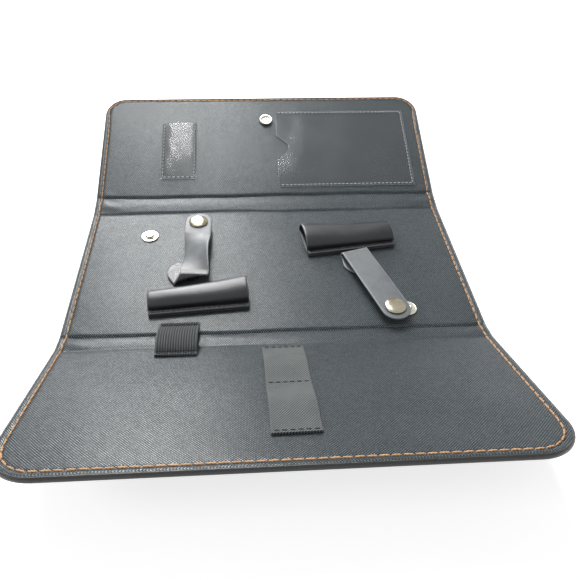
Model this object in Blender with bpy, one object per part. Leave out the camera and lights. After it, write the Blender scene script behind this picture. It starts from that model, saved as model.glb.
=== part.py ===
"""Hair shears case: a three-panel folding case that stands open on a table.

Metres, +Z up. X runs along the case's width, +Y towards the rear panel. The origin is the middle of the
underside of the middle panel, on the table. Every panel is drawn flat in its own frame, whose origin lies
on its crease at the top of the lining, and an empty then tilts it to its opening angle.
"""
import math

import bmesh
import bpy
from mathutils import Matrix, Vector

# Case panels, along X and away from the middle
CASE_WIDTH = 0.245
MIDDLE_DEPTH = 0.1133
REAR_SPINE_DEPTH = 0.0160
REAR_DEPTH = 0.0947
FRONT_SPINE_DEPTH = 0.0115
FRONT_DEPTH = 0.1046
REAR_CORNER_RADIUS = 0.0160
FRONT_CORNER_RADIUS = 0.0220

# How far the panels stand open, in degrees, and the part of it that each spine takes
REAR_TILT = 19.1
FRONT_TILT = 22.6
SPINE_TILT_SHARE = 0.5

# Layers, from the table up: cover, board inside the turned hem, lining
COVER_THICKNESS = 0.0009
BOARD_THICKNESS = 0.0008
LINING_THICKNESS = 0.0005
CONTACT_GAP = 0.0003
CREASE_GAP = 0.0003
HEM_WIDTH = 0.0090
LINING_INSET = 0.0006
BOARD_CLEARANCE = 0.0008
BOARD_CREASE_MARGIN = 0.0025

# Snap fasteners: stud with its post, cap with its shank, socket
STUD_RADIUS = 0.0057
STUD_FLANGE_THICKNESS = 0.0006
STUD_BOSS_RADIUS = 0.0027
STUD_HEIGHT = 0.0020
STUD_BORE_RADIUS = 0.0014
POST_FLANGE_RADIUS = 0.0040
POST_FLANGE_THICKNESS = 0.0004
SHANK_RADIUS = 0.0011
CAP_RADIUS = 0.0062
CAP_HEIGHT = 0.0016
CAP_RIM_HEIGHT = 0.0004
SOCKET_RADIUS = 0.0050
SOCKET_THICKNESS = 0.0019
SOCKET_PLATE_THICKNESS = 0.0006
SOCKET_CLEARANCE = 0.0005
SHANK_CLEARANCE = 0.0003

# Straps that hold the finger rings of the shears
STRAP_WIDTH = 0.0176
STRAP_THICKNESS = 0.0013
STRAP_TIP_LENGTH = 0.0096
STRAP_BEND_RADIUS = 0.0019
STRAP_TAB_LENGTH = 0.0150
STRAP_LIFT_CLEARANCE = 0.0003
STRAP_ARCH = 0.0010

# Sheaths that hold the blades
SHEATH_WALL = 0.0013
SHEATH_FLANGE = 0.0032
SHEATH_LENGTH = 0.0595
LEFT_MOUTH = (0.0212, 0.0102)
LEFT_TAIL = (0.0150, 0.0080)
RIGHT_MOUTH = (0.0250, 0.0106)
RIGHT_TAIL = (0.0186, 0.0092)

# Clear pockets on the rear panel
FILM_THICKNESS = 0.0004
KEY_POCKET_WIDTH = 0.0262
KEY_POCKET_DEPTH = 0.0524
KEY_POCKET_BULGE = 0.0012
CARD_POCKET_EDGE_MARGIN = 0.0125
CARD_POCKET_SNAP_CLEARANCE = 0.0023
CARD_POCKET_DEPTH = 0.0724
CARD_POCKET_BULGE = 0.0005
THUMB_NOTCH_DEPTH = 0.0090
THUMB_NOTCH_WIDTH = 0.0220

# Woven strips: the ribbed elastic over the front fold and the webbing on the front panel
ELASTIC_WIDTH = 0.0228
ELASTIC_THICKNESS = 0.0011
ELASTIC_RISE = 0.0042
ELASTIC_TAB = 0.0030
WEBBING_WIDTH = 0.0226
WEBBING_LENGTH = 0.0780
WEBBING_THICKNESS = 0.0010
WEBBING_LOOP_RISE = 0.0018
WEBBING_SEAM = 0.0030

# Places, as shares of the panel's width from its middle and of its depth from the crease nearest
# the middle panel; on the middle panel the depth counts from its centre
KEY_POCKET_SHARES = (-0.2640, 0.4400)
CARD_POCKET_DEPTH_SHARE = 0.4540
CLOSURE_SHARES = (0.0069, 0.7450)
LEFT_STUD_SHARES = (-0.3286, 0.2745)
RIGHT_STUD_SHARES = (0.3212, -0.3742)
LEFT_ANCHOR_SHARES = (-0.2208, -0.1059)
RIGHT_ANCHOR_SHARES = (0.2204, 0.0406)
LEFT_SHEATH_SHARES = (-0.0612, -0.3416)
RIGHT_SHEATH_SHARES = (0.0967, 0.0574)
ELASTIC_SHARES = (-0.2265, -0.4340)
ELASTIC_FRONT_SHARE = 0.1060
WEBBING_SHARES = (0.0114, 0.4290)
WEBBING_SEAM_SHARES = (0.0, 0.5, 1.0)

# How each piece on the middle panel is turned, in degrees
LEFT_STRAP_ANGLE = 6.9
RIGHT_STRAP_ANGLE = 162.5
LEFT_SHEATH_ANGLE = 4.6
RIGHT_SHEATH_ANGLE = 7.7
WEBBING_ANGLE = 0.9

# How the straps' sewn tabs are skewed and their flaps are twisted, in degrees
LEFT_TAB_SKEW = 38.0
RIGHT_TAB_SKEW = -14.0
LEFT_TWIST = 25.0
RIGHT_TWIST = 0.0

# Straps: sideways step of the flap by share of the width, twisted stretch by share of the length,
# and the root's upper lip by share of the width
ROOT_OFFSET_SHARES = (0.30, 0.0)
TWIST_LENGTH_SHARE = 0.62
LIP_LENGTH_SHARE = 0.18

# Exponents that set how full a curve is: the sheaths' arch and taper, and the elastic's rise
SHEATH_ARCH_POWER = 0.8
SHEATH_TAPER_POWER = 1.5
ELASTIC_RISE_POWER = 0.7

# Facets, and the angles over which an edge stays sharp, in degrees
ARC_STEPS = 10
TURN_STEPS = 32
BEND_STEPS = 10
FILM_STEPS = 14
SHEATH_STATIONS = 5
TIP_END_ANGLE = 87.0
SHARP_ANGLE = 40.0
OVERRUN = 0.0020

# Worked out from the sizes above
HALF_WIDTH = CASE_WIDTH / 2
STACK = COVER_THICKNESS + CONTACT_GAP + BOARD_THICKNESS + CONTACT_GAP + LINING_THICKNESS
BOARD_TOP = -LINING_THICKNESS - CONTACT_GAP
COVER_TOP = BOARD_TOP - BOARD_THICKNESS - CONTACT_GAP
SHANK_HOLE_RADIUS = SHANK_RADIUS + SHANK_CLEARANCE
SOCKET_BORE_RADIUS = STUD_BOSS_RADIUS + SOCKET_CLEARANCE
STRAP_HEIGHT = CONTACT_GAP + STUD_HEIGHT + CONTACT_GAP + SOCKET_THICKNESS + CONTACT_GAP


def clear_scene():
    """Removes whatever the scene holds."""
    for obj in list(bpy.data.objects):
        bpy.data.objects.remove(obj, do_unlink=True)


def material(name, colour, roughness, metallic=0.0, alpha=1.0):
    """A Principled material with the piece's colour and finish."""
    mat = bpy.data.materials.new(name)
    mat.use_nodes = True
    shader = mat.node_tree.nodes["Principled BSDF"]
    shader.inputs["Base Color"].default_value = (*colour, 1.0)
    shader.inputs["Roughness"].default_value = roughness
    shader.inputs["Metallic"].default_value = metallic
    shader.inputs["Alpha"].default_value = alpha
    return mat


def add_object(name, bm, parent, mat, smooth_angle=0.0):
    """Turns a bmesh into a named object under its panel's empty."""
    bmesh.ops.recalc_face_normals(bm, faces=bm.faces)
    mesh = bpy.data.meshes.new(name)
    bm.to_mesh(mesh)
    bm.free()
    if smooth_angle:
        mesh.shade_smooth()
        mesh.set_sharp_from_angle(angle=math.radians(smooth_angle))
    obj = bpy.data.objects.new(name, mesh)
    bpy.context.collection.objects.link(obj)
    obj.parent = parent
    if mat:
        mesh.materials.append(mat)
    return obj


def cut(obj, cutter):
    """Takes the cutter's shape out of the object."""
    cutter.hide_render = True
    cutter.display_type = "WIRE"
    boolean = obj.modifiers.new(cutter.name, "BOOLEAN")
    boolean.operation = "DIFFERENCE"
    boolean.object = cutter
    boolean.solver = "EXACT"


def empty(name, location, tilt=0.0, turn=0.0, parent=None):
    """A frame for pieces that move together, tilted about X and turned about Z, in degrees."""
    obj = bpy.data.objects.new(name, None)
    bpy.context.collection.objects.link(obj)
    obj.location = location
    obj.rotation_euler = (math.radians(tilt), 0.0, math.radians(turn))
    obj.parent = parent
    return obj


def corner(centre, radius, start):
    """A quarter circle, counterclockwise from the start angle in degrees."""
    points = []
    for i in range(ARC_STEPS + 1):
        angle = math.radians(start + 90.0 * i / ARC_STEPS)
        points.append((centre[0] + radius * math.cos(angle), centre[1] + radius * math.sin(angle)))
    return points


def panel_outline(near, far, half_width, radius=0.0):
    """A panel's outline in its own frame, with its two far corners rounded by the radius."""
    outline = [(-half_width, near), (half_width, near)]
    if radius:
        outline += corner((half_width - radius, far - radius), radius, 0.0)
        outline += corner((-half_width + radius, far - radius), radius, 90.0)
    else:
        outline += [(half_width, far), (-half_width, far)]
    return outline


def slab(name, outline, top, thickness, side, parent, mat):
    """A flat sheet: the outline, mirrored to the front when side is -1, extruded down from its top."""
    bm = bmesh.new()
    verts = [bm.verts.new((x, side * y, top)) for x, y in outline]
    face = bm.faces.new(verts)
    lower = bmesh.ops.extrude_face_region(bm, geom=[face])
    moved = [item for item in lower["geom"] if isinstance(item, bmesh.types.BMVert)]
    bmesh.ops.translate(bm, verts=moved, vec=(0.0, 0.0, -thickness))
    return add_object(name, bm, parent, mat)


def punch(obj, places, radius, side, parent):
    """Round holes through a sheet, at places in the panel's own frame."""
    for number, (x, y) in enumerate(places):
        bm = bmesh.new()
        bmesh.ops.create_cone(
            bm,
            cap_ends=True,
            segments=TURN_STEPS,
            radius1=radius,
            radius2=radius,
            depth=STACK + OVERRUN,
            matrix=Matrix.Translation((x, side * y, -STACK / 2)),
        )
        cut(obj, add_object(f"{obj.name}_hole_{number}", bm, parent, None))


def turned(name, profile, place, base, parent, mat, down=False):
    """A turned piece: its profile of (radius, height) spun about the vertical at a place."""
    bm = bmesh.new()
    ring = profile if profile[0][0] == 0 else profile + [profile[0]]
    verts = [bm.verts.new((radius, 0.0, height)) for radius, height in ring]
    edges = [bm.edges.new(pair) for pair in zip(verts, verts[1:])]
    bmesh.ops.spin(
        bm,
        geom=verts + edges,
        cent=(0.0, 0.0, 0.0),
        axis=(0.0, 0.0, 1.0),
        angle=2 * math.pi,
        steps=TURN_STEPS,
        use_merge=True,
    )
    bmesh.ops.remove_doubles(bm, verts=bm.verts, dist=CONTACT_GAP / TURN_STEPS)
    if down:
        bmesh.ops.rotate(bm, verts=bm.verts, cent=(0.0, 0.0, 0.0), matrix=Matrix.Rotation(math.pi, 3, "X"))
    obj = add_object(name, bm, parent, mat, smooth_angle=SHARP_ANGLE)
    obj.location = (place[0], place[1], base)
    return obj


def loft(name, sections, parent, mat, smooth_angle=SHARP_ANGLE):
    """A solid through a row of sections with as many points each, closed by a face at both ends."""
    bm = bmesh.new()
    rows = [[bm.verts.new(point) for point in section] for section in sections]
    for lower, upper in zip(rows, rows[1:]):
        for i in range(len(lower)):
            j = (i + 1) % len(lower)
            bm.faces.new((lower[i], lower[j], upper[j], upper[i]))
    bm.faces.new(rows[0])
    bm.faces.new(rows[-1])
    return add_object(name, bm, parent, mat, smooth_angle)


def ribbon(name, stations, thickness, parent, mat):
    """A strip along stations of (point, side vector, half width), thickened to both sides alike."""
    points = [Vector(point) for point, _, _ in stations]
    sections = []
    for i, (point, across, half_width) in enumerate(stations):
        ahead = points[min(i + 1, len(points) - 1)]
        behind = points[max(i - 1, 0)]
        across = Vector(across)
        up = across.cross(ahead - behind).normalized() * thickness / 2
        reach = across * half_width
        middle = points[i]
        sections.append([middle - reach - up, middle + reach - up, middle + reach + up, middle - reach + up])
    return loft(name, sections, parent, mat)


def smoothstep(t):
    """Rises evenly from 0 to 1 with level ends."""
    t = min(max(t, 0.0), 1.0)
    return t * t * (3 - 2 * t)


def cover(name, near, far, radius, side, open_far, parent, mat, holes=()):
    """An outer cover panel: leathercloth with its free edges turned in as a hem."""
    outline = panel_outline(near, far, HALF_WIDTH, radius)
    body = slab(name, outline, BOARD_TOP, STACK + BOARD_TOP, side, parent, mat)
    inner_far = far + OVERRUN if open_far else far - HEM_WIDTH
    inner_radius = max(radius - HEM_WIDTH, 0.0)
    well = panel_outline(near - OVERRUN, inner_far, HALF_WIDTH - HEM_WIDTH, inner_radius)
    well_depth = BOARD_TOP - COVER_TOP
    cut(body, slab(f"{name}_well", well, BOARD_TOP + OVERRUN, well_depth + OVERRUN, side, parent, None))
    punch(body, holes, SHANK_HOLE_RADIUS, side, parent)
    return body


def board(name, near, far, radius, side, open_far, parent, mat, shank_holes=(), post_holes=()):
    """The stiffener inside a panel, clear of the hem and of the creases."""
    far_edge = far - BOARD_CREASE_MARGIN if open_far else far - HEM_WIDTH - BOARD_CLEARANCE
    edge_radius = max(radius - HEM_WIDTH - BOARD_CLEARANCE, 0.0)
    outline = panel_outline(
        near + BOARD_CREASE_MARGIN, far_edge, HALF_WIDTH - HEM_WIDTH - BOARD_CLEARANCE, edge_radius
    )
    body = slab(name, outline, BOARD_TOP, BOARD_THICKNESS, side, parent, mat)
    punch(body, shank_holes, SHANK_HOLE_RADIUS, side, parent)
    punch(body, post_holes, POST_FLANGE_RADIUS + CONTACT_GAP, side, parent)
    return body


def lining(name, near, far, radius, side, open_far, parent, mat, holes=()):
    """The woven lining over a panel, just inside the cover's edge."""
    far_edge = far if open_far else far - LINING_INSET
    edge_radius = max(radius - LINING_INSET, 0.0)
    outline = panel_outline(near, far_edge, HALF_WIDTH - LINING_INSET, edge_radius)
    body = slab(name, outline, 0.0, LINING_THICKNESS, side, parent, mat)
    punch(body, holes, SHANK_HOLE_RADIUS, side, parent)
    return body


def place_on(shares, depth, side=1.0):
    """A place in a panel's frame from its shares of the width and the depth."""
    return (shares[0] * CASE_WIDTH, side * shares[1] * depth)


def stud_profile():
    """Half section of a snap stud: wide flange, waisted boss and the bore for its post."""
    waist = (STUD_BOSS_RADIUS + STUD_BORE_RADIUS) / 2
    shoulder = (STUD_FLANGE_THICKNESS + STUD_HEIGHT) / 2
    return [
        (STUD_BORE_RADIUS, 0.0),
        (STUD_RADIUS, 0.0),
        (STUD_RADIUS, STUD_FLANGE_THICKNESS / 2),
        (STUD_RADIUS - STUD_FLANGE_THICKNESS / 2, STUD_FLANGE_THICKNESS),
        (STUD_BOSS_RADIUS, STUD_FLANGE_THICKNESS),
        ((STUD_BOSS_RADIUS + waist) / 2, (STUD_FLANGE_THICKNESS + shoulder) / 2),
        (STUD_BOSS_RADIUS, shoulder),
        (waist, STUD_HEIGHT),
        (STUD_BORE_RADIUS, STUD_HEIGHT),
    ]


def post_profile(length):
    """Half section of a post: a flat flange and a shank that passes up into the stud."""
    return [
        (0.0, 0.0),
        (POST_FLANGE_RADIUS, 0.0),
        (POST_FLANGE_RADIUS, POST_FLANGE_THICKNESS),
        (SHANK_RADIUS, POST_FLANGE_THICKNESS),
        (SHANK_RADIUS, length),
        (0.0, length),
    ]


def cap_profile(shank):
    """Half section of a cap: a low dome over a straight rim, with the shank hanging below it."""
    points = [(0.0, -shank), (SHANK_RADIUS, -shank), (SHANK_RADIUS, 0.0), (CAP_RADIUS, 0.0)]
    for i in range(BEND_STEPS):
        angle = math.radians(90.0 * i / BEND_STEPS)
        height = CAP_RIM_HEIGHT + (CAP_HEIGHT - CAP_RIM_HEIGHT) * math.sin(angle)
        points.append((CAP_RADIUS * math.cos(angle), height))
    points.append((0.0, CAP_HEIGHT))
    return points


def socket_profile():
    """Half section of a socket that opens upwards: back plate, wall and a rolled lip."""
    lip = (SOCKET_RADIUS - SOCKET_BORE_RADIUS) / 2
    return [
        (SHANK_HOLE_RADIUS, 0.0),
        (SOCKET_RADIUS, 0.0),
        (SOCKET_RADIUS, SOCKET_THICKNESS - lip / 2),
        (SOCKET_RADIUS - lip / 2, SOCKET_THICKNESS),
        (SOCKET_BORE_RADIUS + lip / 2, SOCKET_THICKNESS),
        (SOCKET_BORE_RADIUS, SOCKET_THICKNESS - lip / 2),
        (SOCKET_BORE_RADIUS, SOCKET_PLATE_THICKNESS),
        (SHANK_HOLE_RADIUS, SOCKET_PLATE_THICKNESS),
    ]


def sheath_section(x, depth, height):
    """Outer and inner points of a sheath: one hide folded round at the back and sewn along the front."""
    outer = []
    inner = []
    steps = 2 * BEND_STEPS
    reach = depth / 2
    for i in range(steps + 1):
        angle = math.pi * i / steps
        lift = math.sin(angle) ** SHEATH_ARCH_POWER if 0 < i < steps else 0.0
        base = SHEATH_WALL * (1 - math.cos(angle))
        y = SHEATH_FLANGE + reach + reach * math.cos(angle)
        outer.append((x, y, base + (height - base) * lift))
        y = SHEATH_FLANGE + reach + (reach - SHEATH_WALL) * math.cos(angle)
        inner.append((x, y, SHEATH_WALL + (height - 2 * SHEATH_WALL) * lift))
    outer.append((x, 0.0, 2 * SHEATH_WALL))
    outer.append((x, 0.0, 0.0))
    return outer, inner


def sheath(name, place, turn, heading, mouth, tail, parent, mat):
    """A tapered leather sheath. Its frame's origin is the mouth's sewn corner, with the sewn edge on y = 0.

    The heading is 1 where the sheath runs towards +X from its mouth, and -1 where it runs the other way.
    """
    bm = bmesh.new()
    rows = []
    for i in range(SHEATH_STATIONS):
        along = i / (SHEATH_STATIONS - 1)
        flare = (1 - along) ** SHEATH_TAPER_POWER
        depth = tail[0] + (mouth[0] - tail[0]) * flare
        height = tail[1] + (mouth[1] - tail[1]) * flare
        outer, inner = sheath_section(heading * along * SHEATH_LENGTH, depth, height)
        rows.append(([bm.verts.new(p) for p in outer], [bm.verts.new(p) for p in inner]))
    for (outer_a, inner_a), (outer_b, inner_b) in zip(rows, rows[1:]):
        for ring_a, ring_b in ((outer_a, outer_b), (inner_a, inner_b)):
            for i in range(len(ring_a)):
                j = (i + 1) % len(ring_a)
                bm.faces.new((ring_a[i], ring_a[j], ring_b[j], ring_b[i]))
    for outer, inner in (rows[0], rows[-1]):
        for i in range(len(inner) - 1):
            bm.faces.new((outer[i], outer[i + 1], inner[i + 1], inner[i]))
        bm.faces.new((outer[-3], outer[-2], inner[-1]))
        bm.faces.new((outer[-2], outer[-1], inner[-1]))
        bm.faces.new((outer[-1], outer[0], inner[0], inner[-1]))
    obj = add_object(name, bm, parent, mat, smooth_angle=SHARP_ANGLE)
    obj.location = (*place, CONTACT_GAP)
    obj.rotation_euler = (0.0, 0.0, math.radians(turn))
    return obj


def strap_reach(anchor, stud):
    """How far the strap's snap lies from the root that it turns about."""
    return math.hypot(stud[0] - anchor[0], stud[1] - anchor[1])


def strap_root(name, offset, skew, parent, mat):
    """The sewn end of a strap: a flat tab on the lining that folds over and comes back above itself."""
    low = CONTACT_GAP + STRAP_THICKNESS / 2
    high = STRAP_HEIGHT + STRAP_THICKNESS / 2
    rise = (high - low) / 2
    lip = STRAP_WIDTH * LIP_LENGTH_SHARE
    half = STRAP_WIDTH / 2
    heading = math.radians(skew)
    stations = []
    tab_steps = BEND_STEPS // 2
    for i in range(tab_steps):
        along = STRAP_TAB_LENGTH * (1 - i / tab_steps)
        point = (along * math.sin(-heading), along * math.cos(heading), low)
        stations.append((point, (math.cos(heading), math.sin(heading), 0.0), half))
    for i in range(BEND_STEPS + 1):
        turn = smoothstep(i / BEND_STEPS)
        angle = math.pi * i / BEND_STEPS - math.pi / 2
        facing = heading * (1 - turn)
        point = (offset * turn, -STRAP_BEND_RADIUS * math.cos(angle), low + rise * (1 + math.sin(angle)))
        stations.append((point, (math.cos(facing), math.sin(facing), 0.0), half))
    stations.append(((offset, lip, high), (1.0, 0.0, 0.0), half))
    return ribbon(name, stations, STRAP_THICKNESS, parent, mat)


def strap_flap(name, start, snap, twist, parent, mat):
    """The free part of a strap, from its crease to its round tip, arched between crease and snap.

    Its frame's origin is the crease, at the top of the leather. A twist, in degrees, leans the strap
    near its root and fades out towards the tip.
    """
    length = snap[1] + STRAP_TIP_LENGTH
    half = STRAP_WIDTH / 2
    lean_end = length * TWIST_LENGTH_SHARE
    straight = length - half
    places = [start + (straight - start) * i / (2 * BEND_STEPS) for i in range(2 * BEND_STEPS)]
    for i in range(BEND_STEPS + 1):
        tip_angle = math.radians(TIP_END_ANGLE * i / BEND_STEPS)
        places.append(straight + half * math.sin(tip_angle))
    stations = []
    for y in places:
        along = y / length
        lean = math.radians(twist) * math.sin(math.pi * min(y / lean_end, 1.0))
        width = half if y <= straight else math.sqrt(half * half - (y - straight) ** 2)
        arch = STRAP_ARCH * math.sin(math.pi * min(y / snap[1], 1.0)) if twist else 0.0
        x = snap[0] * min(y / snap[1], 1.0)
        point = (x, y, -STRAP_THICKNESS / 2 + arch * (1 - along))
        stations.append((point, (math.cos(lean), 0.0, math.sin(lean)), width))
    flap = ribbon(name, stations, STRAP_THICKNESS, parent, mat)
    bm = bmesh.new()
    bmesh.ops.create_cone(
        bm,
        cap_ends=True,
        segments=TURN_STEPS,
        radius1=SHANK_HOLE_RADIUS,
        radius2=SHANK_HOLE_RADIUS,
        depth=STRAP_THICKNESS + 2 * OVERRUN,
        matrix=Matrix.Translation((snap[0], snap[1], -STRAP_THICKNESS / 2)),
    )
    cut(flap, add_object(f"{name}_hole", bm, parent, None))
    return flap


def strap(side_name, anchor, stud, angle, skew, twist, offset_share, middle, mats):
    """A strap with its snap: the root turns about its sewn end and the flap lifts at the crease."""
    reach = strap_reach(anchor, stud)
    offset = offset_share * STRAP_WIDTH
    lip = STRAP_WIDTH * LIP_LENGTH_SHARE
    top = STRAP_HEIGHT + STRAP_THICKNESS
    swing = empty(f"{side_name}_strap_swing", (*anchor, 0.0), turn=-angle, parent=middle)
    lift = empty(f"{side_name}_strap_lift", (offset, lip + STRAP_LIFT_CLEARANCE / 2, top), parent=swing)
    strap_root(f"{side_name}_strap_root", offset, skew, swing, mats["strap"])
    snap = (-offset, reach - lip - STRAP_LIFT_CLEARANCE / 2)
    strap_flap(f"{side_name}_strap", STRAP_LIFT_CLEARANCE / 2, snap, twist, lift, mats["strap"])
    shank = CONTACT_GAP + STRAP_THICKNESS + CONTACT_GAP + SOCKET_PLATE_THICKNESS
    turned(f"{side_name}_strap_cap", cap_profile(shank), snap, CONTACT_GAP, lift, mats["snap"])
    base = -STRAP_THICKNESS - CONTACT_GAP
    turned(f"{side_name}_strap_socket", socket_profile(), snap, base, lift, mats["snap"], down=True)
    return swing, lift


def stud(name, place, parent, mat):
    """A stud on the middle panel's lining, with the post that holds it from below."""
    turned(name, stud_profile(), place, CONTACT_GAP, parent, mat)
    base = BOARD_TOP - BOARD_THICKNESS
    post_length = CONTACT_GAP + STUD_HEIGHT - base - CONTACT_GAP
    turned(f"{name}_post", post_profile(post_length), place, base, parent, mat)


def film_pocket(name, centre, width, depth, bulge, notch, open_side, parent, mat):
    """A clear pocket: a thin film, sewn on three sides, that stands off the lining at its open side."""
    bm = bmesh.new()
    grid = []
    for layer in (0, 1):
        rows = []
        for j in range(FILM_STEPS + 1):
            across = 2 * j / FILM_STEPS - 1
            row = []
            for i in range(FILM_STEPS + 1):
                along = 2 * i / FILM_STEPS - 1
                bite = 0.0
                if notch:
                    reach = min(abs(across) * depth / THUMB_NOTCH_WIDTH, 1.0)
                    bite = THUMB_NOTCH_DEPTH * (1 - reach * reach) * (1 - along) / 2
                if open_side == "left":
                    swell = (1 - across**4) * (1 - max(along, 0.0) ** 2)
                else:
                    swell = (1 - along**4) * (1 - max(-across, 0.0) ** 2)
                x = centre[0] + along * width / 2 + bite
                y = centre[1] + across * depth / 2
                z = CONTACT_GAP + bulge * swell + layer * FILM_THICKNESS
                row.append(bm.verts.new((x, y, z)))
            rows.append(row)
        grid.append(rows)
    last = FILM_STEPS
    for rows in grid:
        for j in range(last):
            for i in range(last):
                bm.faces.new((rows[j][i], rows[j][i + 1], rows[j + 1][i + 1], rows[j + 1][i]))
    low, high = grid
    rim = [(0, i) for i in range(last)] + [(j, last) for j in range(last)]
    rim += [(last, i) for i in range(last, 0, -1)] + [(j, 0) for j in range(last, 0, -1)]
    for (ja, ia), (jb, ib) in zip(rim, rim[1:] + rim[:1]):
        bm.faces.new((low[ja][ia], low[jb][ib], high[jb][ib], high[ja][ia]))
    return add_object(name, bm, parent, mat, smooth_angle=SHARP_ANGLE)


def elastic_loop(name, front_frame, middle_frame, mat):
    """The ribbed elastic sewn to the middle panel and to the front panel, standing off the fold."""
    bpy.context.view_layer.update()
    near = place_on(ELASTIC_SHARES, MIDDLE_DEPTH)
    to_middle = middle_frame.matrix_world.inverted() @ front_frame.matrix_world
    level = CONTACT_GAP + ELASTIC_THICKNESS / 2
    front_v = ELASTIC_FRONT_SHARE * FRONT_DEPTH
    start = Vector((near[0], near[1], level))
    start_in = Vector((near[0], near[1] - ELASTIC_TAB, level))
    end_in = to_middle @ Vector((near[0], ELASTIC_TAB - front_v, level))
    end = to_middle @ Vector((near[0], -front_v, level))
    rise = Vector((0.0, 0.0, ELASTIC_RISE))
    path = [start]
    for i in range(2 * BEND_STEPS + 1):
        t = i / (2 * BEND_STEPS)
        path.append(start_in.lerp(end_in, t) + rise * math.sin(math.pi * t) ** ELASTIC_RISE_POWER)
    path.append(end)
    stations = [(point, (1.0, 0.0, 0.0), ELASTIC_WIDTH / 2) for point in path]
    return ribbon(name, stations, ELASTIC_THICKNESS, middle_frame, mat)


def webbing_strip(name, parent, mat):
    """The webbing on the front panel, sewn at three seams so that it forms two low loops."""
    centre = place_on(WEBBING_SHARES, FRONT_DEPTH, -1.0)
    level = CONTACT_GAP + WEBBING_THICKNESS / 2
    seams = [share * (WEBBING_LENGTH - WEBBING_SEAM) + WEBBING_SEAM / 2 for share in WEBBING_SEAM_SHARES]
    stations = [((0.0, 0.0, level), (1.0, 0.0, 0.0), WEBBING_WIDTH / 2)]
    for first, second in zip(seams, seams[1:]):
        start = first + WEBBING_SEAM / 2
        span = second - WEBBING_SEAM / 2 - start
        for i in range(BEND_STEPS + 1):
            t = i / BEND_STEPS
            height = level + WEBBING_LOOP_RISE * math.sin(math.pi * t) ** 2
            stations.append(((0.0, -(start + span * t), height), (1.0, 0.0, 0.0), WEBBING_WIDTH / 2))
    stations.append(((0.0, -WEBBING_LENGTH, level), (1.0, 0.0, 0.0), WEBBING_WIDTH / 2))
    strip = ribbon(name, stations, WEBBING_THICKNESS, parent, mat)
    strip.location = (centre[0], centre[1] + WEBBING_LENGTH / 2, 0.0)
    strip.rotation_euler = (0.0, 0.0, math.radians(WEBBING_ANGLE))
    return strip


def build_materials():
    """The finishes, by the kind of piece."""
    return {
        "cover": material("cover_leathercloth", (0.012, 0.012, 0.014), 0.32),
        "board": material("stiffener_board", (0.20, 0.17, 0.13), 0.9),
        "lining": material("woven_lining", (0.055, 0.060, 0.068), 0.55),
        "sheath": material("sheath_leather", (0.018, 0.019, 0.024), 0.35),
        "strap": material("strap_leather", (0.11, 0.12, 0.13), 0.5),
        "snap": material("snap_nickel", (0.78, 0.76, 0.70), 0.22, metallic=1.0),
        "film": material("clear_film", (0.70, 0.75, 0.78), 0.08, alpha=0.3),
        "elastic": material("ribbed_elastic", (0.022, 0.024, 0.028), 0.8),
        "webbing": material("webbing", (0.060, 0.066, 0.074), 0.75),
    }


def build_middle(mats):
    """The middle panel with the sheaths, straps and studs."""
    frame = empty("middle_frame", (0.0, 0.0, STACK))
    edge = MIDDLE_DEPTH / 2 - CREASE_GAP / 2
    left_stud = place_on(LEFT_STUD_SHARES, MIDDLE_DEPTH)
    right_stud = place_on(RIGHT_STUD_SHARES, MIDDLE_DEPTH)
    studs = (left_stud, right_stud)
    cover("middle_cover", -edge, edge, 0.0, 1, True, frame, mats["cover"])
    board("middle_board", -edge, edge, 0.0, 1, True, frame, mats["board"], post_holes=studs)
    lining("middle_lining", -edge, edge, 0.0, 1, True, frame, mats["lining"], holes=studs)
    stud("left_stud", left_stud, frame, mats["snap"])
    stud("right_stud", right_stud, frame, mats["snap"])
    left_anchor = place_on(LEFT_ANCHOR_SHARES, MIDDLE_DEPTH)
    right_anchor = place_on(RIGHT_ANCHOR_SHARES, MIDDLE_DEPTH)
    strap(
        "left", left_anchor, left_stud, LEFT_STRAP_ANGLE, LEFT_TAB_SKEW, LEFT_TWIST,
        ROOT_OFFSET_SHARES[0], frame, mats,
    )
    strap(
        "right", right_anchor, right_stud, RIGHT_STRAP_ANGLE, RIGHT_TAB_SKEW, RIGHT_TWIST,
        ROOT_OFFSET_SHARES[1], frame, mats,
    )
    left_mouth = place_on(LEFT_SHEATH_SHARES, MIDDLE_DEPTH)
    right_mouth = place_on(RIGHT_SHEATH_SHARES, MIDDLE_DEPTH)
    sheath("left_sheath", left_mouth, LEFT_SHEATH_ANGLE, -1, LEFT_MOUTH, LEFT_TAIL, frame, mats["sheath"])
    sheath("right_sheath", right_mouth, RIGHT_SHEATH_ANGLE, 1, RIGHT_MOUTH, RIGHT_TAIL, frame, mats["sheath"])
    return frame


def build_spine(name, depth, tilt, side, parent, mats):
    """A soft spine between two panels: cover and lining with no board. Returns the frame at its far crease."""
    frame = empty(f"{name}_frame", (0.0, side * MIDDLE_DEPTH / 2, 0.0), tilt=side * tilt, parent=parent)
    near = CREASE_GAP / 2
    far = depth - CREASE_GAP / 2
    cover(f"{name}_cover", near, far, 0.0, side, True, frame, mats["cover"])
    lining(f"{name}_lining", near, far, 0.0, side, True, frame, mats["lining"])
    return frame


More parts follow.
